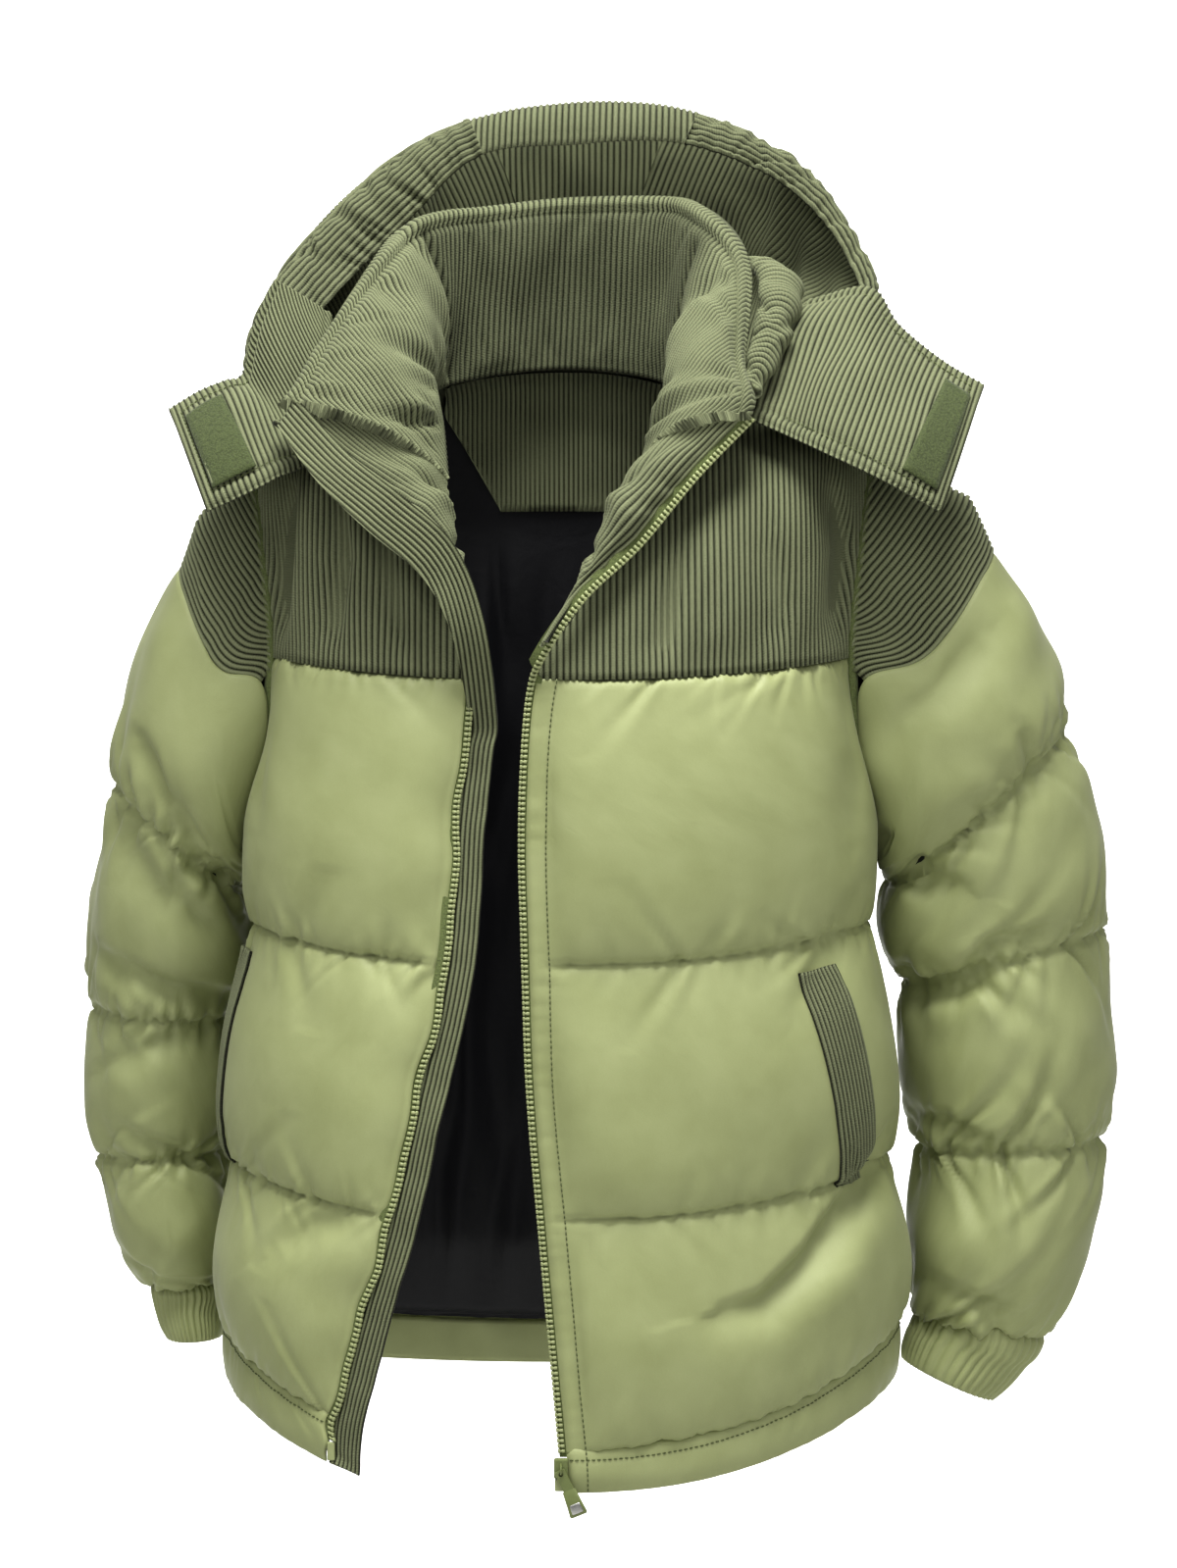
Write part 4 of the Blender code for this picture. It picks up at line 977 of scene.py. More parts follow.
def shell(name, surface, v, columns, height, under, turn, folds, closed=False):
    """A padded panel: an outer face of fine points and a coarser inner one of lining."""
    u = np.linspace(0, 1, columns + 1)
    u, v = (u[:-1] if closed else u)[None, :], v[:, None]
    points = surface(u, v)
    normal = exact_normals(surface, u, v, wrap=closed) * turn
    u, v = np.broadcast_arrays(u, v)
    padding = height(u, v, points)
    puffed = points + normal * padding[..., None]
    facing = normals(puffed, closed) * turn
    change = folds(puffed, facing, u, v)
    # No fold is pressed further than the wadding gives.
    deepest = FLAT_FOLD + 0.8 * np.maximum(padding, 0)
    change = np.where(change < 0, -deepest * np.tanh(-change / deepest), change)
    outer = puffed + facing * change[..., None]
    # The inner face gives way behind a deep fold.
    level = np.minimum(under(u, v, points), padding + change - THINNEST)
    for axis in (0, 1):
        level = np.minimum(level, np.minimum(np.roll(level, 1, axis), np.roll(level, -1, axis)))
    inner = (points + normal * level[..., None])[::2, ::2]
    PANELS[name] = outer
    if closed and turn < 0:
        outer, inner = np.roll(outer, -1, 1), np.roll(inner, -1, 1)
    return double(name, outer, inner, ("satin_polyester", "taffeta_lining"), closed=closed, turn=turn)


def body_span():
    """First and last station of the fronts and the back."""
    return trimmed(STATION["yoke_seam"], STATION["hem_seam"])


def body_rows():
    """Rows of a front or the back, with its quilt seams on rows."""
    first, last = body_span()
    seams = [(seam - first) / (last - first) for seam in QUILT_SEAMS[1:-1]]
    return seam_places(BODY_DROP / (sizes().shell_step / MM), seams, 0, 1)


def body_quilting(points, v, seed):
    """Gathers along the quilt seams of a front or the back, with distances across and down it."""
    first, last = body_span()
    flat, rows = flat_places(points), v[:, 0]
    middle = flat[:, points.shape[1] // 2, 1]
    seams = [np.interp((seam - first) / (last - first), rows, middle) for seam in QUILT_SEAMS]
    down = middle[:, None] * np.ones(v.shape)
    return seam_puckers(down, flat[..., 0], seams, seed), flat[..., 0], down


def front_height(side):
    """Padding of a front over its seam surface, thin at its quilting and at its edges."""
    strip = sizes().strip / MM if side == "left" else 3.0

    def height(u, v, points):
        first, last = body_span()
        share = channel_place(first + (last - first) * v, QUILT_SEAMS) ** 1.35
        gone = gone_across(points)
        edge = np.sin(np.clip((gone - strip) / SEAM_EASE, 0, 1) * np.pi / 2) ** 0.7
        side_edge = np.sin(np.clip((gone[:, -1:] - gone) / SEAM_EASE, 0, 1) * np.pi / 2) ** 0.7
        return 1 + PUFF_OUT * rise(share) * edge * side_edge
    return height


FRONT_FOLDS = {
    "left": (((89, -597), (115, -591), (146, -563), (166, -538), (182, -521), (204, -491), 11, 6, 15),
             ((135, -406), (159, -365), (182, -329), 3, 9, 16),
             ((170, -189), (182, -235), (177, -300), 3, 8, 14)),
    "right": (((-214, -189), (-220, -235), (-220, -293), 3, 8, 12),
              ((-205, -560), (-180, -540), (-150, -533), 4, 7, 12)),
}


def add_creases(points, facing, creases, front=True):
    """Sum of listed creases. A row is its places, then its depth and its two widths."""
    made = np.zeros(points.shape[:-1])
    mask = smooth((-0.05 - facing[..., 1] * (1 if front else -1)) / 0.4)
    for *path, depth, sharp, soft in creases:
        made += crease(points, path, depth * 1.35, sharp * 0.85, soft) * mask
    return made


GATHER_LONG = 17


def seam_puckers(place, gone, seams, seed):
    """Gathers on both sides of each seam. place is the distance along the panel of each point."""
    made = np.zeros(gone.shape)
    for number, seam in enumerate(seams):
        made -= 1.8 * bell(place - seam, 2.6)
        for side, sign in enumerate((1, -1)):
            away = (place - seam) * sign
            shown = away > -0.01
            dents = puckers(gone, np.maximum(away, 0), seed + 10 * number + side, 10, 1.7, GATHER_LONG)
            dents += puckers(gone, np.maximum(away, 0), seed + 100 + number, 55, 2.4, 26, 0.8, 1.8)
            made += np.where(shown & (away < 3.2 * GATHER_LONG), dents, 0)
    return made


def make_front(side):
    """Quilted front of padded satin, with its flat strip beside the zip."""
    turn = -SIGN[side]
    first, last = body_span()
    surface = front_surface(side, first, last)
    columns = 2 * round(FRONT_ACROSS / (sizes().shell_step / MM) / 2)
    seed = 11 if side == "left" else 47

    def folds(points, facing, u, v):
        made, gone, down = body_quilting(points, v, seed)
        made += soft_noise(points, 95, seed) * 1.1
        if side == "left":
            # The strip beside the zip lies flat, stitched along its edge and its middle.
            strip = sizes().strip / MM
            flatness = smooth((strip + 6 - gone) / 10)
            made *= 1 - flatness
            made -= 0.7 * bell(gone - strip, 1.6)
            made -= 0.5 * bell(gone - strip * 0.45, 0.9)
            made += flatness * 0.5 * puckers(down, np.abs(gone - strip * 0.45), seed + 3, 6, 1, 9, 0.3)
        return made + add_creases(points, facing, FRONT_FOLDS[side])

    def under(u, v, points):
        across = np.clip(u / FRONT_FADE[0], 0, 1) * np.clip((1 - u) / FRONT_FADE[1], 0, 1)
        share = rise(channel_place(first + (last - first) * v, QUILT_SEAMS))
        return -1 - PUFF_IN * (share * np.sin(across * np.pi / 2) ** 0.6)

    made = shell("front_shell_" + side, surface, body_rows(), columns, front_height(side), under, turn, folds)
    piece(made, ["front_" + side])


def make_back():
    """Quilted back of padded satin."""
    first, last = body_span()
    columns = 2 * round(BACK_ACROSS / (sizes().shell_step / MM) / 2)

    def share(u, v, warp):
        across = np.clip(u / 0.075, 0, 1) * np.clip((1 - u) / 0.075, 0, 1)
        return (rise(channel_place(first + (last - first) * v, QUILT_SEAMS) ** warp)
                * np.sin(across * np.pi / 2) ** 0.6)

    def height(u, v, points):
        return 1 + PUFF_OUT * share(u, v, 1.35)

    def under(u, v, points):
        return -1 - PUFF_IN * share(u, v, 1)

    def folds(points, facing, u, v):
        made = body_quilting(points, v, 83)[0] + soft_noise(points, 110, 5) * 1.2
        return made + add_creases(points, facing, BACK_FOLDS, False)

    made = shell("back_shell", back_surface(first, last), body_rows(), columns, height, under, 1, folds)
    piece(made, ["back_panel"])


BACK_FOLDS = (
    ((-190, -250), (-140, -262), (-85, -255), 4, 7, 13),
    ((60, -420), (110, -452), (170, -455), 5, 7, 13),
    ((-120, -600), (-60, -585), (-20, -592), 4, 7, 12),
    ((120, -235), (150, -285), (160, -330), 4, 8, 13),
)
# Folds on the front of a sleeve, then on its back.
SLEEVE_FOLDS = {
    "left": (((288, -222), (296, -242), (303, -266), 5, 4, 8),
             ((205, -222), (229, -199), (262, -160), 5, 9, 16),
             ((187, -292), (207, -307), (223, -322), (250, -332), 8, 7, 12),
             ((199, -388), (224, -403), (253, -396), (272, -384), 8, 6, 11),
             ((240, -396), (272, -369), (320, -360), 5, 6, 12),
             ((210, -492), (237, -492), (272, -508), 5, 6, 11),
             ((232, -600), (255, -611), (294, -626), 5, 5, 9)),
    "right": (((-299, -232), (-288, -258), (-279, -284), 6, 5, 9),
              ((-277, -272), (-265, -295), (-256, -317), (-228, -324), 7, 6, 11),
              ((-338, -378), (-317, -388), (-287, -401), (-257, -407), (-232, -421), 8, 6, 12),
              ((-333, -463), (-301, -443), (-267, -434), 4, 6, 11),
              ((-324, -501), (-296, -512), (-262, -525), 4, 6, 11),
              ((-320, -290), (-292, -330), (-241, -370), 4, 9, 15)),
}
SLEEVE_BACK_FOLDS = {
    "left": (((215, -250), (255, -262), (300, -250), 6, 7, 12),
             ((230, -365), (270, -350), (330, -372), 6, 7, 13),
             ((225, -470), (275, -480), (320, -468), 5, 7, 12),
             ((240, -580), (280, -592), (310, -585), 5, 6, 10)),
    "right": (((-320, -300), (-280, -286), (-240, -292), 6, 7, 12),
              ((-330, -420), (-290, -436), (-250, -428), 6, 7, 13),
              ((-320, -540), (-290, -552), (-258, -546), 5, 6, 10)),
}


def make_sleeve(side):
    """Quilted sleeve of padded satin, in four channels."""
    turn = SIGN[side]
    step = sizes().shell_step / MM

    def surface(u, v):
        angle = 360 * np.asarray(u, float)
        begin = cap_reach(angle) + 2 * SLEEVE_CUT
        return sleeve_point(side, angle, begin + (SLEEVE_SEAMS[-1] - SLEEVE_CUT - begin) * v)

    def puff(u, v, warp):
        begin = cap_reach(360 * u)
        reach = begin + (SLEEVE_SEAMS[-1] - begin) * v
        low = np.minimum(begin, 1.6)
        upper = (reach - low) / (SLEEVE_SEAMS[0] - low)
        lower = channel_place(np.maximum(reach, SLEEVE_SEAMS[0]), SLEEVE_SEAMS)
        return rise(np.where(reach < SLEEVE_SEAMS[0], upper, lower) ** warp)

    def height(u, v, points):
        return 1 + SLEEVE_PUFF * puff(u, v, 1.3)

    def under(u, v, points):
        return -1 - 0.6 * SLEEVE_PUFF * puff(u, v, 1)

    rows = np.linspace(0, 1, 2 * round(560 / step / 2) + 1)
    columns = 2 * round(420 / step / 2)
    seed = 21 if side == "left" else 67

    def folds(points, facing, u, v):
        flat = flat_places(points)
        begin = cap_reach(360 * u)
        reach = begin + (SLEEVE_SEAMS[-1] - begin) * v
        made = np.zeros(u.shape)
        gone = flat[..., 0]
        for number, seam in enumerate(SLEEVE_SEAMS):
            for way in (1, -1):
                away = (reach - seam) * way * RING_DROP
                last = seam == SLEEVE_SEAMS[-1]
                dents = puckers(gone, np.maximum(away, 0), seed + 10 * number + way, 9 if last else 12,
                                3.0 if last else 3.2, 30 if last else 24, 0.7)
                dents += puckers(gone, np.maximum(away, 0), seed + 200 + number, 44, 6.5, 40, 0.9, 1.7)
                made += np.where(away >= 0, dents, 0)
            made -= 2.6 * bell((reach - seam) * RING_DROP, 3)
        made += soft_noise(points, 70, seed) * 1.3
        made += add_creases(points, facing, SLEEVE_FOLDS[side])
        made += add_creases(points, facing, SLEEVE_BACK_FOLDS[side], False)
        # The folds die out where the rings crowd together under the arm.
        return made * smooth((np.linalg.norm(np.gradient(points, axis=0), axis=-1) - 0.7) / 1.4)

    made = shell("sleeve_shell_" + side, surface, rows, columns, height, under, turn, folds, closed=True)
    piece(made, ["sleeve_" + side])


def make_cuff(side):
    """Elastic cuff: satin gathered in pleats over a hidden band of elastic."""
    turn = SIGN[side]
    u, v = evenly(241, 21)
    angle = 360 * np.broadcast_to(u[:, :-1], (21, 240))
    points = sleeve_point(side, angle, SLEEVE_SEAMS[-1] - 0.16 + (2.16 - SLEEVE_CUT) * v)
    tucked = 5 * (1 - smooth(v / 0.12))
    ways = normals(points, True) * turn
    random = np.random.default_rng(31 if side == "left" else 33)
    place = np.linspace(0, 2 * np.pi, 241)[:-1]
    sway = sum(random.uniform(0.2, 0.5) * np.sin(k * place + random.uniform(0, 6)) for k in (2, 3, 5, 7))
    wave = np.abs(np.sin(19 * place + 2.2 * sway))
    pleat = (wave ** 0.8)[None, :] * (0.75 + 0.25 * np.sin(np.pi * v))
    swell = 1.2 * np.sin(np.pi * v) + 0.5 * np.sin(3 * np.pi * v)
    outer = points + ways * (1.0 + 2.4 * pleat + swell - tucked)[..., None]
    inner = points + ways * (-2.2 + 1.6 * pleat - tucked)[..., None]
    made = double("cuff_gathers_" + side, outer, inner, ("satin_polyester",), closed=True, slots=(0, 0),
                  turn=turn)
    piece(made, ["cuff_" + side])
    as_sheet(made, outer, closed=True)


def make_hem(face, side=""):
    """Hem band: satin over soft elastic, with light gathers."""
    span = (STATION["hem_seam"] - 0.12, STATION["hem"])
    surface = back_surface(*span) if face == "back" else front_surface(side, *span)
    turn = 1 if face == "back" or side == "right" else -1
    columns = 2 * round((BACK_ACROSS if face == "back" else FRONT_ACROSS) / 3 / 2)
    u, v = evenly(columns + 1, 17)
    points = surface(u, v)
    ways = exact_normals(surface, u, v) * turn
    gone = flat_places(points)[..., 0]
    bulge = 2.2 * np.sin(np.pi * np.clip(v * 1.04, 0, 1)) ** 0.7
    # The band begins above its seam, where it is tucked under the shell.
    level = v * HEM_TALL + 0 * u - HEM_TUCK
    tucked = 5.0 * (1 - smooth((level + HEM_TUCK) / HEM_TUCK))
    seed = {"": 3, "left": 5, "right": 7}[side]
    dents = puckers(gone, np.maximum(level, 0), seed, 9, 0.9, 12, 0.4)
    dents = dents + puckers(gone, HEM_TALL - 3 - level, seed + 1, 12, 0.6, 10, 0.4)
    stitch = -0.5 * bell(level - 3, 0.9)
    swell = 1.2 + bulge + dents + stitch + soft_noise(points, 40, seed) * 0.5 - tucked
    outer = points + ways * swell[..., None]
    inner = points - ways * (1.0 + tucked)[..., None]
    name = "hem_band_" + (side or "back")
    PANELS[name] = outer[:, ::-1] if turn < 0 else outer
    made = double(name, outer, inner, ("satin_polyester",), slots=(0, 0), turn=turn)
    piece(made, ["hem_" + (side or "back")])
    as_sheet(made, PANELS[name])


# ---- inside

def lining_surface(first, last):
    """Surface of the back's inside, which stops 5 degrees short of its side seams."""
    return patch("back", "", lambda s: 5 - side_angle("back", s), lambda s: side_angle("back", s) - 5,
                 first, last)


def make_lining():
    """Dark lining of the back with long soft folds, flat where the facings are sewn to it."""
    first, last = 1.6, STATION["hem_seam"] - 0.06
    surface = lining_surface(first, last)
    u, v = evenly(135, 75)
    points = surface(u, v)
    ways = exact_normals(surface, u, v)
    station = first + (last - first) * v
    ease = np.minimum(np.clip((station - 3.2) / 1.6, 0, 1), np.clip((last - station) / 0.8, 0, 1))
    depth = -6 - 9 * ease
    flat = points * np.array((1, 0, 0.16))
    sway = soft_noise(flat, 40, 77) * 5.0 + soft_noise(flat, 19, 78) * 2.2
    folds = -np.abs(sway) * (0.03 + 0.97 * ease)
    outer = points + ways * (depth + folds - 1)[..., None]
    inner = points + ways * (depth + folds)[..., None]
    made = double("back_lining", outer, inner, ("taffeta_lining",), slots=(0, 0), turn=-1)
    piece(made, ["lining_back"])
    as_sheet(made, points)


def make_hem_facing():
    """Satin band inside the back's hem, rippled by its elastic."""
    surface = lining_surface(STATION["hem_seam"] + 0.04, STATION["hem"] - 0.06)
    u, v = evenly(141, 13)
    points = surface(u, v)
    ways = exact_normals(surface, u, v)
    gone = flat_places(points)[..., 0]
    ripple = 0.6 * np.abs(soft_noise(points, 30, 4)) + puckers(gone, v * 30 + 0 * u, 9, 9, 0.7, 12, 0.3) * 0.5
    roll = 1.4 * np.sin(np.pi * v) ** 0.6
    outer = points - ways * (3.4 + roll + ripple)[..., None]
    inner = points - ways * 2.5
    made = double("hem_lining_band", outer, inner, ("satin_polyester",), slots=(0, 0), turn=-1)
    piece(made, ["hem_facing"])
    as_sheet(made, points)


def make_neck_facing():
    """Corduroy facing inside the neck, its ribs hanging straight down."""
    stations = [row[0] for row in NECK_FACING]

    def edge(station):
        return through(stations, [row[1] for row in NECK_FACING], station)

    def far(u, v):
        return 2.5 + 6 * smooth(v * 1.8) + 0 * u

    def near(u, v):
        return far(u, v) + 1.8 + stitched(edge_gap(u, NECK_FACING_WIDE), 5, 0.8, 1.2)

    def relief(points, u, v):
        return soft_noise(points, 60, 8) * 0.8

    surface = patch("back", "", lambda s: -edge(s), edge, stations[0], stations[-1])
    # Painted light: the facing's pile is drawn 1.2 times as pale.
    made = corduroy("neck_facing_ribs", ["neck_facing"], surface, turn=-1, rows=36, near=near, far=far,
                    both=False, measure=lambda grid: grid[..., 0], relief=relief, narrow=True, nap_and_painted_light=1.2)
    as_sheet(made, surface(*evenly(30, 30)))


# ---- yokes and caps

def make_yoke(side):
    """Corduroy yoke of a front, its ribs hanging straight down."""
    span = trimmed(STATION["neck"], STATION["yoke_seam"])
    surface = front_surface(side, *span)
    sign = SIGN[side]
    seed = 13 if side == "left" else 15

    def relief(points, u, v):
        flat = points * np.array((1, 0.4, 0.25))
        made = soft_noise(flat, 70, seed) * 1.5
        made += add_creases(points, np.tile((0, -1.0, 0), (*u.shape, 1)), YOKE_FOLDS[side])
        return made * smooth(v / 0.3) * smooth((1 - v) / 0.12) * smooth(edge_gap(u, YOKE_WIDE) / 22)

    made = corduroy("front_yoke_ribs_" + side, ["front_yoke_" + side], surface, turn=-sign, rows=48,
                    near=1.6, far=-1, both=False, relief=relief, measure=along_x(surface, sign))
    as_sheet(made, surface(*evenly(40, 40)))


YOKE_FOLDS = {
    "right": (((-166, -50), (-158, -110), (-168, -176), 6, 6, 12),
              ((-194, -50), (-200, -120), (-204, -176), 9, 5, 11),
              ((-138, -70), (-128, -125), (-118, -180), 4, 7, 13)),
    "left": (((160, -50), (172, -105), (166, -176), 7, 5, 13),
             ((64, -96), (56, -135), (50, -180), 4, 7, 13),
             ((120, -90), (128, -140), (122, -180), 3, 8, 16)),
}


def make_back_yoke():
    """Corduroy yoke of the back."""
    span = trimmed(STATION["neck"], STATION["yoke_seam"])
    surface = back_surface(*span)

    def relief(points, u, v):
        return soft_noise(points * np.array((1, 0.4, 0.25)), 80, 17) * 1.2 * smooth(v / 0.3)

    made = corduroy("back_yoke_ribs", ["back_yoke"], surface, turn=1, rows=42, near=1.6, far=-1, both=False,
                    relief=relief, measure=along_x(surface))
    as_sheet(made, surface(*evenly(40, 40)))


def make_cap(side):
    """Corduroy cap of a sleeve. Its ribs follow its lower edge and meet in a point on the shoulder."""
    turn = SIGN[side]

    def surface(u, v):
        angle = 108 * (2 * np.asarray(u, float) - 1)
        return sleeve_point(side, angle, SLEEVE_CUT + (cap_reach(angle) - 3 * SLEEVE_CUT) * v)

    def relief(points, u, v):
        flat = points * np.array((1, 1, 0.3))
        return soft_noise(flat, 50, 19 if side == "left" else 20) * 1.2 * np.sin(np.pi * v)

    # Painted light: the cap's pile is drawn 1.15 times as pale, where light falls on the shoulder.
    made = corduroy("sleeve_cap_ribs_" + side, ["sleeve_cap_" + side], surface, turn=turn, rows=90,
                    anchor=1, swap=True, near=1.5, far=-1, both=False, relief=relief, nap_and_painted_light=1.15)
    as_sheet(made, surface(*evenly(50, 30)))


# ---- collar, lapels and wind flap

def edge_gap(share, width):
    """Distance to the nearer of two edges."""
    return np.minimum(share, 1 - share) * width


def rolled(away, radius):
    """How far a rolled edge falls back, as a share of its radius."""
    t = 1 - np.clip(away / radius, 0, 1)
    return 1 - np.sqrt(np.maximum(1 - t * t, 0))


def stitched(away, place, depth=1.0, width=1.6):
    return -depth * bell(away - place, width)


def make_collar():
    """Padded stand collar. Its ribs run from its seam over its rolled top."""
    def near(u, v):
        sides = 1 - smooth((u - 0.305) / 0.03) + smooth((u - 0.67) / 0.07)
        puffed = 14 * np.sin(np.pi * np.clip(v * 0.965 + 0.015, 0, 1)) ** 0.8 * sides
        leaning = (4.5 + 11 * smooth(v / 0.9)) * (1 - sides)
        top = (1 - v) * COLLAR_TALL
        return 2.4 + puffed + leaning - 7 * rolled(top, 7) + stitched(top, 12, 4.2, 2.2)

    def far(u, v):
        full = -COLLAR_THICK * (0.3 + 0.7 * rise(0.1 + 0.8 * v))
        return full + 4 * rolled((1 - v) * COLLAR_TALL, 5)

    def relief(points, u, v):
        gone, seam, top = u * COLLAR_ROUND, v * COLLAR_TALL, (1 - v) * COLLAR_TALL
        shown = smooth((110 - top) / 12)
        sides = 1 - smooth((u - 0.27) / 0.06) + smooth((u - 0.66) / 0.1)
        made = puckers(gone, top, 23, 20, 2.2, 34, 0.35) * smooth((top - 11) / 8)
        made += puckers(gone, seam, 24, 22, 2.4, 34, 0.35) * shown
        made += puckers(gone, seam, 21, 24, 6.5, 60, 0.5, 1.9) * sides * shown
        made += puckers(gone, top, 22, 30, 5.5, 50, 0.5, 1.7) * sides * smooth((top - 11) / 12)
        # A short dart in the middle of the back, and the fold where the open fronts turn.
        made -= 2.6 * bell(gone - 392, 2.2) * bell(top - 20, 11)
        made -= 8.0 * bell(gone - 232, 4.0) * smooth((top - 6) / 16)
        made -= 4.0 * bell(gone - 476, 6.0) * smooth((top - 14) / 16)
        sewn = 0.2 + 0.8 * smooth(edge_gap(u, COLLAR_ROUND) / 45) * smooth(seam / 11)
        return (made + soft_noise(points, 60, 25) * 1.4) * sewn

    # Painted shade: the inner back of the collar is drawn darker, down to 0.55 of its paleness, where its
    # rolled sides and the hood shade it.
    def nap_and_painted_light(u, v):
        inside = smooth((u - 0.31) / 0.03) - smooth((u - 0.68) / 0.05)
        return 1 - 0.45 * np.clip(inside, 0, 1) * (1 - smooth((v - 0.88) / 0.06))

    made = corduroy("collar_ribs", ["collar"], band(COLLAR), rows=42, anchor=0.5, near=near, far=far,
                    relief=relief, nap_and_painted_light=nap_and_painted_light)


def make_facing(side):
    """Lapel: the corduroy facing behind the zip, turned out by the open collar."""
    sign = SIGN[side]
    surface = band(FACINGS[side], sign)

    def near(u, v):
        # The lapel narrows from 126 mm at the collar to 8 mm at its foot.
        away = (1 - v) * (118 * (1 - u) ** 1.3 + 8)
        return 1.5 - 3 * rolled(away, 5) + stitched(away, 9, 1.6, 2.0) * (u < 0.7)

    def far(u, v):
        return 1 - FACING_THICK * (1 - 0.72 * np.clip((u - 0.4) / 0.4, 0, 1)) + 0 * v

    def relief(points, u, v):
        made = puckers(u * LAPEL_LONG, (1 - v) * LAPEL_WIDE, 27, 16, 2.4, 26, 0.5)
        made += puckers(u * LAPEL_LONG, v * LAPEL_WIDE, 26, 22, 4.0, 40, 0.5, 2.0)
        made += 6 * np.sin(np.pi * np.clip(v, 0, 1)) ** 0.8 * (1 - smooth((u - 0.3) / 0.4))
        return (made + soft_noise(points, 45, 28) * 1.4) * (1 - smooth((u - 0.6) / 0.3))

    made = corduroy("lapel_ribs_" + side, ["facing_" + side], surface, turn=sign, rows=60, anchor=1,
                    swap=True, near=near, far=far, relief=relief)


def zip_edge(side, station, beyond, depth=0.0, waved=True):
    """Points beside a front's edge: beyond it by one distance and under it by another."""
    station = np.asarray(station, float)
    angle = edge_angle(side, station, -beyond, waved)
    near = body_point("front", side, angle, station)
    across = body_point("front", side, angle + 0.5, station) - near
    along = body_point("front", side, angle, station + 0.02) - near
    normal = unit(np.cross(across, along))
    normal *= np.where(normal[..., 1] < 0, 1, -1)[..., None]
    return near - normal * depth


def wind_flap_table():
    rows = [list(row) for row in WIND_FLAP_TOP]
    for station in np.linspace(STATION["yoke_seam"] + 0.3, STATION["hem"], 33):
        rows.append([*zip_edge("right", station, WIND_FLAP_NEAR, 3.2),
                     *zip_edge("right", station, WIND_FLAP_FAR, 0, False), 0])
    return rows


def make_wind_flap():
    """Corduroy strip behind the right front's zip."""
    surface = band(wind_flap_table())

    def near(u, v):
        return 1.2 - 1.2 * rolled(edge_gap(v, WIND_FLAP_WIDE), 2)

    def relief(points, u, v):
        waves = 1.3 * soft_noise(points * np.array((0.2, 0.2, 1)), 60, 29) * v
        return waves + 0.4 * soft_noise(points, 20, 30)

    made = corduroy("wind_flap_ribs", ["wind_flap"], surface, turn=-1, rows=220, anchor=1, swap=True,
                    near=near, far=-1, relief=relief, narrow=True)
    as_sheet(made, surface(*evenly(200, 5)), 1.45)


# ---- hood

def make_hood():
    """Crown of the hood in three panels, and its padded face band in three lengths."""
    left, right = HOOD_SEAMS
    first, last = HOOD[0][0], HOOD[-1][0]
    for name, low, high, anchor, seed in (
            ("hood_side_right", first, left + HOOD_OVERLAP, 1, 33),
            ("hood_centre", left - HOOD_OVERLAP, right + HOOD_OVERLAP, 0.5, 34),
            ("hood_side_left", right - HOOD_OVERLAP, last, 0, 35)):
        def relief(points, u, v, seed=seed):
            made = soft_noise(points, 55, seed) * 3
            for x, depth in ((127, 6), (150, 5), (172, 3), (-120, 5), (-146, 5), (-96, 3)):
                line = points[..., 0] - x - (points[..., 2] - 60) * 0.08
                made += depth * bell(line, 6) * smooth(points[..., 2] / 50)
            return made * np.sin(np.pi * v) ** 0.5

        surface = hood_shell(low, high)
        made = corduroy(name + "_ribs", [name], surface, turn=1, rows=46, anchor=anchor, near=1.2, far=-1.2,
                        relief=relief)
        as_sheet(made, surface(*evenly(40, 40)))
    for number, (low, high) in enumerate(zip(HOOD_BAND_ENDS, HOOD_BAND_ENDS[1:])):
        surface = hood_band_surface(low, high)
        middle = number == 1

        def near(u, v):
            away = edge_gap(v, HOOD_BAND_WIDE)
            return 1 - 2 * rolled(away, 4) + stitched(away, 7, 0.8)

        def far(u, v):
            return -4 + 2 * rolled(edge_gap(v, HOOD_BAND_WIDE), 4)

        def relief(points, u, v, number=number, middle=middle):
            if middle:
                return soft_noise(points, 50, 36) * 0.8
            gone = u * 330
            crinkle = puckers(gone, v * 60, 37 + number, 10, 3.4, 30, 0.7) * smooth(v * 60 / 12 - 0.2)
            crinkle += puckers(gone, (1 - v) * 60, 39 + number, 12, 3.0, 26, 0.7)
            return crinkle + soft_noise(points, 35, 41 + number) * 1.4

        # Painted shade: the band's pile is drawn at 0.8 of its paleness.
        made = corduroy("hood_band_ribs_%d" % number, ["hood_band"], surface, turn=-1, nap_and_painted_light=0.8,
                        rows=18 if middle else 110, anchor=0.5 if middle else 1, swap=not middle, near=near,
                        far=far, relief=relief)


def make_flap(side):
    """Throat flap of the hood, with a rolled and stitched edge."""
    turn = -SIGN[side]
    surface = band(FLAPS[side], turn)
    long, wide = FLAP_SIZES[side]

    def away(u, v):
        return np.minimum(edge_gap(v, wide), (1 - u) * long)

    def near(u, v):
        return 1.4 - 3 * rolled(away(u, v), 4.5) + stitched(away(u, v), FLAP_STITCH, 1.8, 1.8)

    def far(u, v):
        return -4 + 2.4 * rolled(away(u, v), 3.5)

    def relief(points, u, v):
        return soft_noise(points, 60, 43 + turn) * 2.4 * smooth(away(u, v) / 20)

    made = corduroy("hood_flap_ribs_" + side, ["hood_flap_" + side], surface, turn=turn, rows=56, anchor=1,
                    near=near, far=far, relief=relief)


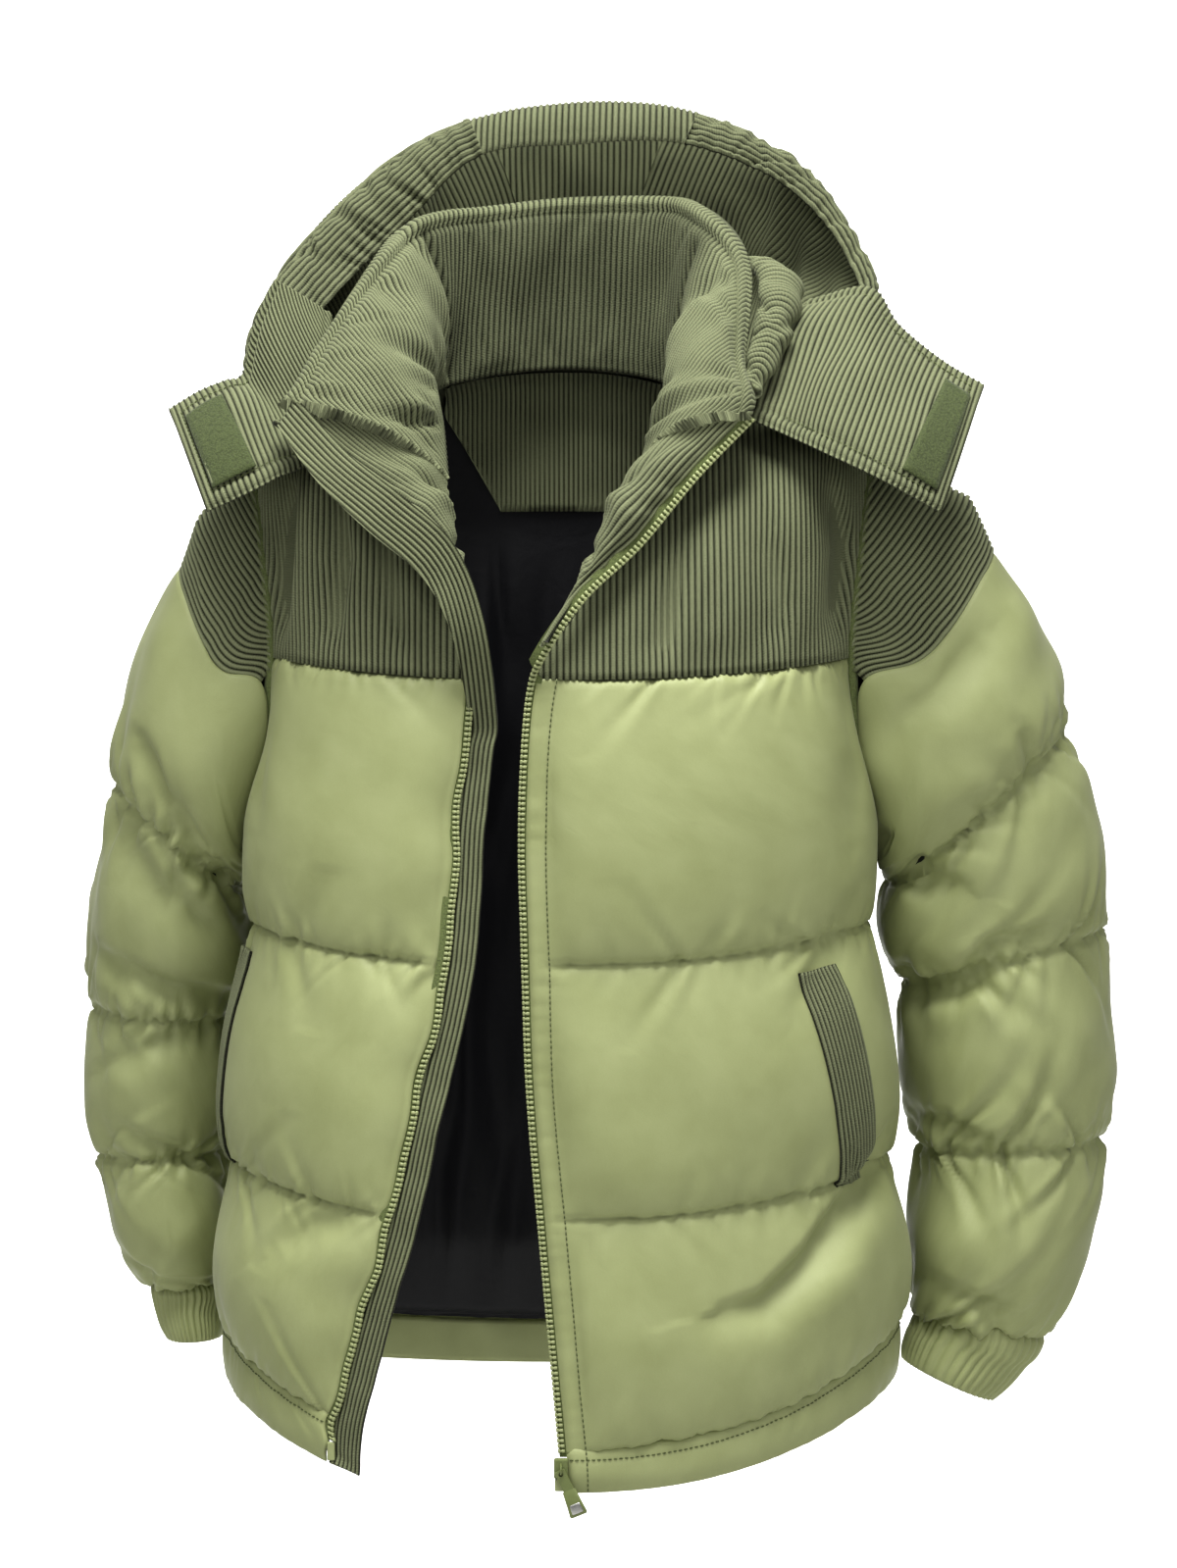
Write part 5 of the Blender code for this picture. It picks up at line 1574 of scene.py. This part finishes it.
def make_neck_roll():
    """Roll of hood cloth that stands up between the collar and the left throat flap."""
    def near(u, v):
        return 3 - 6 * rolled(edge_gap(v, NECK_ROLL_WIDE), 8)

    def relief(points, u, v):
        made = puckers(u * NECK_ROLL_LONG, edge_gap(v, NECK_ROLL_WIDE), 53, 12, 2.4, 22, 0.3)
        return made + soft_noise(points, 30, 54) * 1.2

    made = corduroy("hood_neck_roll_left", [], band(NECK_ROLL), turn=1, rows=24, near=near, far=-5,
                    relief=relief)


def make_armhole_seam(side):
    """Bound seam inside each armhole, which closes it behind the sleeve's gathers."""
    turn = SIGN[side]
    angle = np.linspace(0, 360, 181)[:-1]
    line = armhole_point(side, angle) + np.array((turn * ARMHOLE_GAP / 2, 0, 0))
    line = line - unit(line - line.mean(0)) * BINDING_INSET
    ring = np.linspace(0, 2 * np.pi, 11)[:-1]
    out = unit(line - line.mean(0))
    out[:, 0] = 0
    out = unit(out)
    points = line[None] + BINDING_RADIUS * (out[None] * np.cos(ring)[:, None, None]
                                            + np.array((1.0, 0, 0)) * np.sin(ring)[:, None, None])
    points = np.concatenate((points, points[:1]))
    skins = Skins()
    skins.grid(points, flat_places(points, True), closed=True, flip=turn > 0)
    made = skins.mesh("armhole_binding_" + side, ("woven_tape",))
    piece(made, [])


def make_patch(name):
    """Touch tape sewn on a flap: a field of hooks or loops in a plain selvedge."""
    side, along, across = PATCHES[name]
    turn = -SIGN[side]
    flap = band(FLAPS[side], turn)

    def surface(u, v):
        return flap(along[0] + (along[1] - along[0]) * u, across[0] + (across[1] - across[0]) * v)

    u, v = evenly(31, 61)
    points = surface(u, v)
    ways = exact_normals(surface, u, v) * turn
    inside = smooth(np.minimum(edge_gap(u, PATCH_WIDE), edge_gap(v, PATCH_LONG)) / 3)
    random = np.random.default_rng(5)
    nap_and_painted_light = random.uniform(0, 0.5, inside.shape) * inside
    outer = points + ways * (2.6 + 0.9 * inside + nap_and_painted_light)[..., None]
    inner = points + ways * 2.0
    made = double(name + "_nap", outer, inner, ("touch_tape",), slots=(0, 0), turn=turn)
    piece(made, [name])
    as_sheet(made, points)


# ---- pockets

def make_pocket(side):
    """Corduroy welt of a slanted pocket, made from the front's own points moved out."""
    turn = -SIGN[side]
    first, last = trimmed(STATION["yoke_seam"], STATION["hem_seam"])
    panel = grid_surface(PANELS["front_shell_" + side])
    top_angle, bottom_angle, wide = POCKETS[side]
    begin, end = POCKET_STATIONS

    def surface(u, v):
        station = begin + (end - begin) * v
        angle = top_angle + (bottom_angle - top_angle) * v + wide * u
        low, high = -turn * edge_angle(side, station), side_angle("front", station)
        return panel((angle - low) / (high - low), (station - first) / (last - first))

    def near(u, v):
        return 3.2 - 1.6 * rolled(edge_gap(u, WELT_WIDE), 3)

    made = corduroy("pocket_welt_ribs_" + side, ["pocket_welt_" + side], surface, turn=turn, rows=60,
                    anchor=0, near=near, far=0.4, narrow=True)
    as_sheet(made, surface(*evenly(12, 40)), 1.25)


# ---- zip

TOOTH = ((-0.5, -0.30), (-0.5, 0.30), (-0.05, 0.34), (0.0, 0.20), (0.12, 0.20), (0.2, 0.40), (0.42, 0.42),
         (0.5, 0.26), (0.5, -0.26), (0.42, -0.42), (0.2, -0.40), (0.12, -0.20), (0.0, -0.20), (-0.05, -0.34))


TOOTH_LAYERS = ((-1.1, 0.8), (-0.8, 1.0), (0.75, 1.0), (1.25, 0.72))   # lift and size
TOOTH_LONG = 4.6
ZIP_NEAR, ZIP_FAR = 0.9, 5.9     # the teeth's distance beyond the edge of their front
LAPEL_OUT = np.array((0.75, 0, -0.66))


def zip_table(side):
    """Rows of a zip's band, from its far to its near edge down the lapel, then the other way."""
    rows = []
    if side == "left":
        for row in FACINGS["left"][:-1]:
            edge = np.array(row[3:6])
            rows.append([*(edge + LAPEL_OUT * (ZIP_FAR + 0.8)), *(edge + LAPEL_OUT * (ZIP_NEAR + 0.8)), 0])
        rows.append(list(ZIP_FOLD))
    foot = STATION["hem_seam"] + (0.05 if side == "left" else 0.4)
    for station in np.linspace(STATION["yoke_seam"] + 0.1, foot, 12 if side == "left" else 34):
        rows.append([*zip_edge(side, station, ZIP_NEAR), *zip_edge(side, station, ZIP_FAR), 0])
    return rows


def make_teeth(side):
    """Row of moulded teeth on its woven tape: each tooth a foot, a waist and a head."""
    rows = zip_table(side)
    surface = band(rows)
    dense = np.linspace(0, 1, 2000)
    gone = gone_along(surface(dense, np.full(2000, 0.5)))
    pitch = sizes().tooth / MM
    count = int(gone[-1] / pitch)
    places = np.interp((np.arange(count) + 0.5) * pitch, gone, dense)
    middle = surface(places, 0.5)
    across = unit(surface(places, 1) - surface(places, 0))
    along = unit(surface(np.clip(places + 0.002, 0, 1), 0.5) - surface(np.clip(places - 0.002, 0, 1), 0.5))
    out = unit(np.cross(across, along))
    out *= np.where(out[:, 1] < 0, 1, -1)[:, None]
    if side == "left":
        lapel = np.arange(count) < int(np.searchsorted(places, 5.0 / (len(rows) - 1)))
        across = np.where(lapel[:, None], -across, across)
    shape = np.array(TOOTH)
    centre = middle[:, None, :]
    ring = centre + across[:, None, :] * (shape[None, :, 0:1] * TOOTH_LONG) \
        + along[:, None, :] * (shape[None, :, 1:2] * pitch * 0.98)
    points = np.stack([centre + (ring - centre) * grow + out[:, None, :] * lift
                       for lift, grow in TOOTH_LAYERS], 1).reshape(-1, 3)
    size, top = len(shape), len(shape) * (len(TOOTH_LAYERS) - 1)
    quads = []
    for low in range(0, top, size):
        for corner in range(size):
            after = (corner + 1) % size
            quads.append((low + corner, low + after, low + size + after, low + size + corner))
    for level, way in ((top, 1), (0, -1)):
        for corner in range(size // 2 - 1):
            quad = (corner, corner + 1, size - 2 - corner, size - 1 - corner)
            quads.append([level + place for place in quad[::way]])
    number = np.arange(count)[:, None] * size * len(TOOTH_LAYERS)
    skins = Skins()
    skins.face(np.concatenate([number + np.array(quad) for quad in quads]))
    skins.place(points, points[:, [0, 2]], np.ones(len(points)))
    # The tape lies under the teeth, from the shell's edge to their heads.
    u = np.linspace(0, 1, 240)[None, :]
    fold = (len(FACINGS["left"]) - 0.5) / (len(rows) - 1) if side == "left" else -1
    turned = np.clip((fold - u) * 60, -1, 1)
    tape = surface(u, 0.5 + turned * np.array((-0.3, 0.5, 1.3))[:, None])
    ways = np.tile(out[np.clip((u[0] * count).astype(int), 0, count - 1)][None], (3, 1, 1))
    skins.grid(tape - ways * 0.2, flat_places(tape), slot=1)
    skins.grid(tape - ways * 0.9, flat_places(tape), slot=1, flip=True)
    made = skins.mesh("zip_teeth_row_" + side, ("moulded_acetal", "woven_tape"))
    piece(made, ["zip_teeth_" + side])


def make_tab_foot():
    """Bare metal end of the tab, worn clear of its enamel."""
    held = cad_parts["pull_tab"]
    tab = np.array([held.matrix_world @ corner.co for corner in held.data.vertices]) / MM
    hinge = tab[tab[:, 2] > tab[:, 2].max() - 3].mean(0)
    foot = tab[tab[:, 2] < tab[:, 2].min() + 3].mean(0)
    down = unit(foot - hinge)
    end = (tab - hinge) @ down
    near = tab[end > end.max() - 8]
    across = np.array((1.0, 0, 0)) - down * down[0]
    across = unit(across)
    out = np.cross(down, across)
    half = [np.abs((near - foot) @ way).max() + 0.25 for way in (across, out)]
    turn = np.radians(np.arange(0, 360, 15))
    ring = [np.sign(way) * np.abs(way) ** 0.4 for way in (np.cos(turn), np.sin(turn))]
    long = end.max() - end.min()
    for name, cloth, layers in (
            ("tab_paddle", "enamelled_zinc", ((0.42, 0.3, 0.4), (0.46, 0.9, 1.02), (0.8, 1.1, 1.04),
                                              (0.97, 1.22, 1.06), (1.0, 1.12, 0.9), (1.003, 0.1, 0.1))),
            ("tab_bare_foot", "bare_zinc", ((0.74, 0.2, 0.2), (0.745, 0.72, 1.3), (0.76, 0.76, 1.42),
                                            (0.93, 0.84, 1.42), (0.945, 0.8, 1.3), (0.95, 0.2, 0.2)))):
        grid = np.array([hinge + down * (end.min() + share * long)
                         + half[0] * wide * ring[0][:, None] * across
                         + half[1] * deep * ring[1][:, None] * out for share, wide, deep in layers])
        skins = Skins()
        skins.grid(grid, flat_places(grid, True), closed=True)
        piece(skins.mesh(name, (cloth,)), [], "pull_tab")


def make_slider():
    """Finishes of the slider, tab, box and pin, whose own shapes stay."""
    for name, cloth in (("slider", "enamelled_zinc"), ("pull_tab", "enamelled_zinc"),
                        ("zip_box", "moulded_acetal"), ("zip_pin", "moulded_acetal")):
        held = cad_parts[name]
        for place in range(len(held.data.materials)):
            held.material_slots[place].material = material(cloth)


# ---- stitches

def stitch_row(lines, name):
    """Topstitches along lines of points and normals, as short raised threads."""
    pitch = sizes().stitch / MM
    skins = Skins()
    for line, ways in lines:
        gone = gone_along(line)
        count = int(gone[-1] / pitch)
        starts = (np.arange(count) + 0.15) * pitch
        for share in np.stack((starts, starts + pitch * 0.72), 1):
            at = np.linspace(*share, 5)
            middle = np.stack([np.interp(at, gone, line[:, axis]) for axis in range(3)], 1)
            out = unit(np.stack([np.interp(at, gone, ways[:, axis]) for axis in range(3)], 1))
            along = unit(middle[-1] - middle[0])
            beside = unit(np.cross(out, along))
            thick = 0.42 * np.array((0.35, 1, 1.1, 1, 0.35))
            lift = 0.35 * np.array((-0.9, 0.5, 0.9, 0.5, -0.9))
            turn = np.linspace(0, 2 * np.pi, 7)[:-1]
            round_it = (beside[:, None, :] * np.cos(turn)[None, :, None]
                        + out[:, None, :] * np.sin(turn)[None, :, None])
            ring = (middle + out * lift[:, None])[:, None, :] + thick[:, None, None] * round_it
            skins.grid(ring, flat_places(ring, True), closed=True)
    made = skins.mesh(name, ("spun_thread",))
    piece(made, ())


def row_at(points, distance, turn):
    """Line on a finished panel at a distance from its first column, with its normals."""
    gone = flat_places(points)[..., 0]
    line, out = [np.array([[np.interp(distance, gone[row], grid[row, :, axis]) for axis in range(3)]
                           for row in range(len(grid))]) for grid in (points, normals(points) * turn)]
    return line, unit(out)


def make_stitches():
    """Topstitching of the zip strip and the flaps."""
    strip = sizes().strip / MM
    panel = PANELS["front_shell_left"]
    line, out = row_at(panel, strip, -1)
    made = [(line + out * 0.3, out)]
    for name in ("hem_band_left", "hem_band_right", "hem_band_back"):
        panel = PANELS[name]
        out = normals(panel)[3]
        made.append((panel[3] + out * 0.3, out))
    line, out = row_at(PANELS["hem_band_left"][:, ::-1], strip, -1)
    made.append((line + out * 0.3, out))
    stitch_row(made, "shell_stitches")
    lines = []
    for side in ("left", "right"):
        turn = -SIGN[side]
        surface = band(FLAPS[side], turn)
        long, wide = FLAP_SIZES[side]
        begin = 0.25 if side == "left" else 0.4
        a, b = FLAP_STITCH / wide, 1 - FLAP_STITCH / long
        path = ([(u, a) for u in np.linspace(begin, b, 60)] + [(b, v) for v in np.linspace(a, 1 - a, 60)]
                + [(u, 1 - a) for u in np.linspace(b, begin, 60)])
        places = np.array(path)
        line = surface(places[:, 0], places[:, 1])
        out = exact_normals(surface, places[:, 0], places[:, 1]) * turn
        lines.append((line + out * 0.2, out))
    stitch_row(lines, "flap_stitches")


# ---- stage

# The camera looks from 3.3 m in front, 4 degrees above the level, at the jacket's middle.
CAMERA_TARGET = Vector((0, 0, -0.265))
CAMERA_DISTANCE = 3.3
CAMERA_ELEVATION = 4.0
PIXELS_PER_METRE = 1510.0
PHOTO_HEIGHT = 1599.0
SENSOR = 24.0
LAMP_TARGET = Vector((0, 0, -0.3))
LAMPS = (("top", (-0.1, -0.8, 2.3), 1.4, 128), ("key", (-1.7, -2.5, 1.9), 1.5, 30),
         ("fill", (2.1, -2.4, 1.4), 1.5, 23), ("front", (0.2, -3.6, 0.5), 1.5, 8))


def lamp_at(name, place, size, power):
    """A square lamp at a place, unturned."""
    lamp = bpy.data.lights.new(name, "AREA")
    lamp.size, lamp.energy = size, power
    made = bpy.data.objects.new(name, lamp)
    made.location = place
    bpy.context.scene.collection.objects.link(made)
    return made


def make_stage():
    """Camera, lamps, world and floor."""
    scene = bpy.context.scene
    lens = bpy.data.cameras.new("camera")
    lens.sensor_fit = "VERTICAL"
    lens.sensor_height = SENSOR
    lens.lens = SENSOR * PIXELS_PER_METRE * CAMERA_DISTANCE / PHOTO_HEIGHT
    camera = bpy.data.objects.new("camera", lens)
    lift = math.radians(CAMERA_ELEVATION)
    camera.location = CAMERA_TARGET + Vector((0, -math.cos(lift), math.sin(lift))) * CAMERA_DISTANCE
    camera.rotation_euler = (CAMERA_TARGET - camera.location).to_track_quat("-Z", "Y").to_euler()
    scene.collection.objects.link(camera)
    scene.camera = camera
    # A long, narrow lamp for the light that the pale sweep throws into the hood.
    bounce = lamp_at("hood_bounce", (-0.01, 0.085, 0.15), 0.22, 0.1)
    bounce.data.shape, bounce.data.size_y = "RECTANGLE", 0.03
    bounce.rotation_euler = (math.radians(90), 0, 0)
    for name, place, size, power in LAMPS:
        made = lamp_at(name, place, size, power)
        made.rotation_euler = (LAMP_TARGET - Vector(place)).to_track_quat("-Z", "Y").to_euler()
    world = bpy.data.worlds.new("studio")
    world.use_nodes = True
    world.node_tree.nodes["Background"].inputs["Color"].default_value = (1, 1, 1, 1)
    world.node_tree.nodes["Background"].inputs["Strength"].default_value = 0.32
    scene.world = world
    scene.view_settings.view_transform = "Standard"
    scene.view_settings.gamma = 0.85
    make_floor()


FLOOR_Z = -1420.0
FLOOR_HALF = 9000.0
SWEEP_HALF = 1900.0
SWEEP_BEGIN, SWEEP_BEND, SWEEP_RADIUS, SWEEP_TOP = 1200, 3000, 2500, 3100


def make_floor():
    """Pale floor under the jacket, and behind it a sweep of white paper that is lit by itself."""
    profile = [(SWEEP_BEGIN, 0), (SWEEP_BEND, 0)]
    for step in range(1, 13):
        turn = math.radians(7.5 * step)
        profile.append((SWEEP_BEND + SWEEP_RADIUS * math.sin(turn), SWEEP_RADIUS * (1 - math.cos(turn))))
    profile.append((SWEEP_BEND + SWEEP_RADIUS, SWEEP_TOP))
    for name, line, half, glow in (("studio_floor", [(-7000, 0), (SWEEP_BEGIN, 0)], FLOOR_HALF, 0.0),
                                   ("studio_sweep", profile, SWEEP_HALF, 1.2)):
        across = np.linspace(-half, half, 9)
        grid = np.array([[(x, y, FLOOR_Z + z) for x in across] for y, z in line])
        skins = Skins()
        skins.grid(grid, grid[..., :2])
        made = skins.mesh(name, ())
        made.data.materials.append(paper_material("matt_paper_" + name, glow))


# ---- operators

class JACKET_OT_stage(bpy.types.Operator):
    """Camera, soft lights and a pale paper sweep"""
    bl_idname = "jacket.stage"
    bl_label = "Studio"

    def execute(self, context):
        make_stage()
        return {"FINISHED"}


class JACKET_OT_fronts(bpy.types.Operator):
    """Quilted satin fronts"""
    bl_idname = "jacket.fronts"
    bl_label = "Fronts"

    def execute(self, context):
        for side in SIDES:
            make_front(side)
        return {"FINISHED"}


class JACKET_OT_back(bpy.types.Operator):
    """Quilted satin back"""
    bl_idname = "jacket.back"
    bl_label = "Back"

    def execute(self, context):
        make_back()
        return {"FINISHED"}


class JACKET_OT_sleeves(bpy.types.Operator):
    """Quilted satin sleeves"""
    bl_idname = "jacket.sleeves"
    bl_label = "Sleeves"

    def execute(self, context):
        for side in SIDES:
            make_sleeve(side)
        return {"FINISHED"}


class JACKET_OT_cuffs(bpy.types.Operator):
    """Gathered elastic cuffs"""
    bl_idname = "jacket.cuffs"
    bl_label = "Cuffs"

    def execute(self, context):
        for side in SIDES:
            make_cuff(side)
        return {"FINISHED"}


class JACKET_OT_hems(bpy.types.Operator):
    """Satin hem bands"""
    bl_idname = "jacket.hems"
    bl_label = "Hem bands"

    def execute(self, context):
        make_hem("back")
        for side in SIDES:
            make_hem("front", side)
        return {"FINISHED"}


class JACKET_OT_lining(bpy.types.Operator):
    """Lining, neck facing and inner hem band"""
    bl_idname = "jacket.lining"
    bl_label = "Lining"

    def execute(self, context):
        make_lining()
        make_hem_facing()
        make_neck_facing()
        return {"FINISHED"}


class JACKET_OT_yokes(bpy.types.Operator):
    """Corduroy yokes"""
    bl_idname = "jacket.yokes"
    bl_label = "Yokes"

    def execute(self, context):
        for side in SIDES:
            make_yoke(side)
        make_back_yoke()
        return {"FINISHED"}


class JACKET_OT_caps(bpy.types.Operator):
    """Corduroy sleeve caps, and the bound seams behind them"""
    bl_idname = "jacket.caps"
    bl_label = "Sleeve caps"

    def execute(self, context):
        for side in SIDES:
            make_cap(side)
            make_armhole_seam(side)
        return {"FINISHED"}


class JACKET_OT_collar(bpy.types.Operator):
    """Padded corduroy collar"""
    bl_idname = "jacket.collar"
    bl_label = "Collar"

    def execute(self, context):
        make_collar()
        return {"FINISHED"}


class JACKET_OT_lapels(bpy.types.Operator):
    """Corduroy facings that turn out"""
    bl_idname = "jacket.lapels"
    bl_label = "Lapels"

    def execute(self, context):
        for side in SIDES:
            make_facing(side)
        return {"FINISHED"}


class JACKET_OT_wind_flap(bpy.types.Operator):
    """Corduroy strip behind the zip"""
    bl_idname = "jacket.wind_flap"
    bl_label = "Wind flap"

    def execute(self, context):
        make_wind_flap()
        return {"FINISHED"}


class JACKET_OT_hood(bpy.types.Operator):
    """Corduroy hood and its face band"""
    bl_idname = "jacket.hood"
    bl_label = "Hood"

    def execute(self, context):
        make_hood()
        return {"FINISHED"}


class JACKET_OT_flaps(bpy.types.Operator):
    """Throat flaps with touch tape"""
    bl_idname = "jacket.flaps"
    bl_label = "Hood flaps"

    def execute(self, context):
        make_neck_roll()
        for side in SIDES:
            make_flap(side)
        for name in PATCHES:
            make_patch(name)
        return {"FINISHED"}


class JACKET_OT_pockets(bpy.types.Operator):
    """Corduroy pocket welts"""
    bl_idname = "jacket.pockets"
    bl_label = "Pockets"

    def execute(self, context):
        for side in SIDES:
            make_pocket(side)
        return {"FINISHED"}


class JACKET_OT_zip(bpy.types.Operator):
    """Teeth, tapes, slider and pull tab"""
    bl_idname = "jacket.zip"
    bl_label = "Zip"

    def execute(self, context):
        for side in SIDES:
            make_teeth(side)
        make_slider()
        make_tab_foot()
        return {"FINISHED"}


class JACKET_OT_stitches(bpy.types.Operator):
    """Topstitching"""
    bl_idname = "jacket.stitches"
    bl_label = "Stitches"

    def execute(self, context):
        make_stitches()
        return {"FINISHED"}


# In the order in which they are called.
OPERATORS = (
    JACKET_OT_stage, JACKET_OT_fronts, JACKET_OT_back, JACKET_OT_sleeves, JACKET_OT_cuffs,
    JACKET_OT_hems, JACKET_OT_lining, JACKET_OT_yokes, JACKET_OT_caps, JACKET_OT_collar,
    JACKET_OT_lapels, JACKET_OT_wind_flap, JACKET_OT_hood, JACKET_OT_flaps, JACKET_OT_pockets,
    JACKET_OT_zip, JACKET_OT_stitches,
)


class JACKET_PT_pieces(bpy.types.Panel):
    bl_label = "Jacket"
    bl_idname = "JACKET_PT_pieces"
    bl_space_type = "VIEW_3D"
    bl_region_type = "UI"
    bl_category = "Jacket"

    def draw(self, context):
        for group in (context.scene.jacket_sizes, context.scene.jacket_colours):
            for name in group.__annotations__:
                self.layout.prop(group, name)
        for made in OPERATORS:
            self.layout.operator(made.bl_idname)


def register():
    for made in (JacketSizes, JacketColours, *OPERATORS, JACKET_PT_pieces):
        bpy.utils.register_class(made)
    bpy.types.Scene.jacket_sizes = PointerProperty(type=JacketSizes)
    bpy.types.Scene.jacket_colours = PointerProperty(type=JacketColours)


def unregister():
    del bpy.types.Scene.jacket_sizes, bpy.types.Scene.jacket_colours
    for made in (JACKET_PT_pieces, *reversed(OPERATORS), JacketColours, JacketSizes):
        bpy.utils.unregister_class(made)


def main():
    register()
    for made in OPERATORS:
        getattr(bpy.ops.jacket, made.bl_idname.split(".")[1])()


if __name__ == "__main__":
    main()
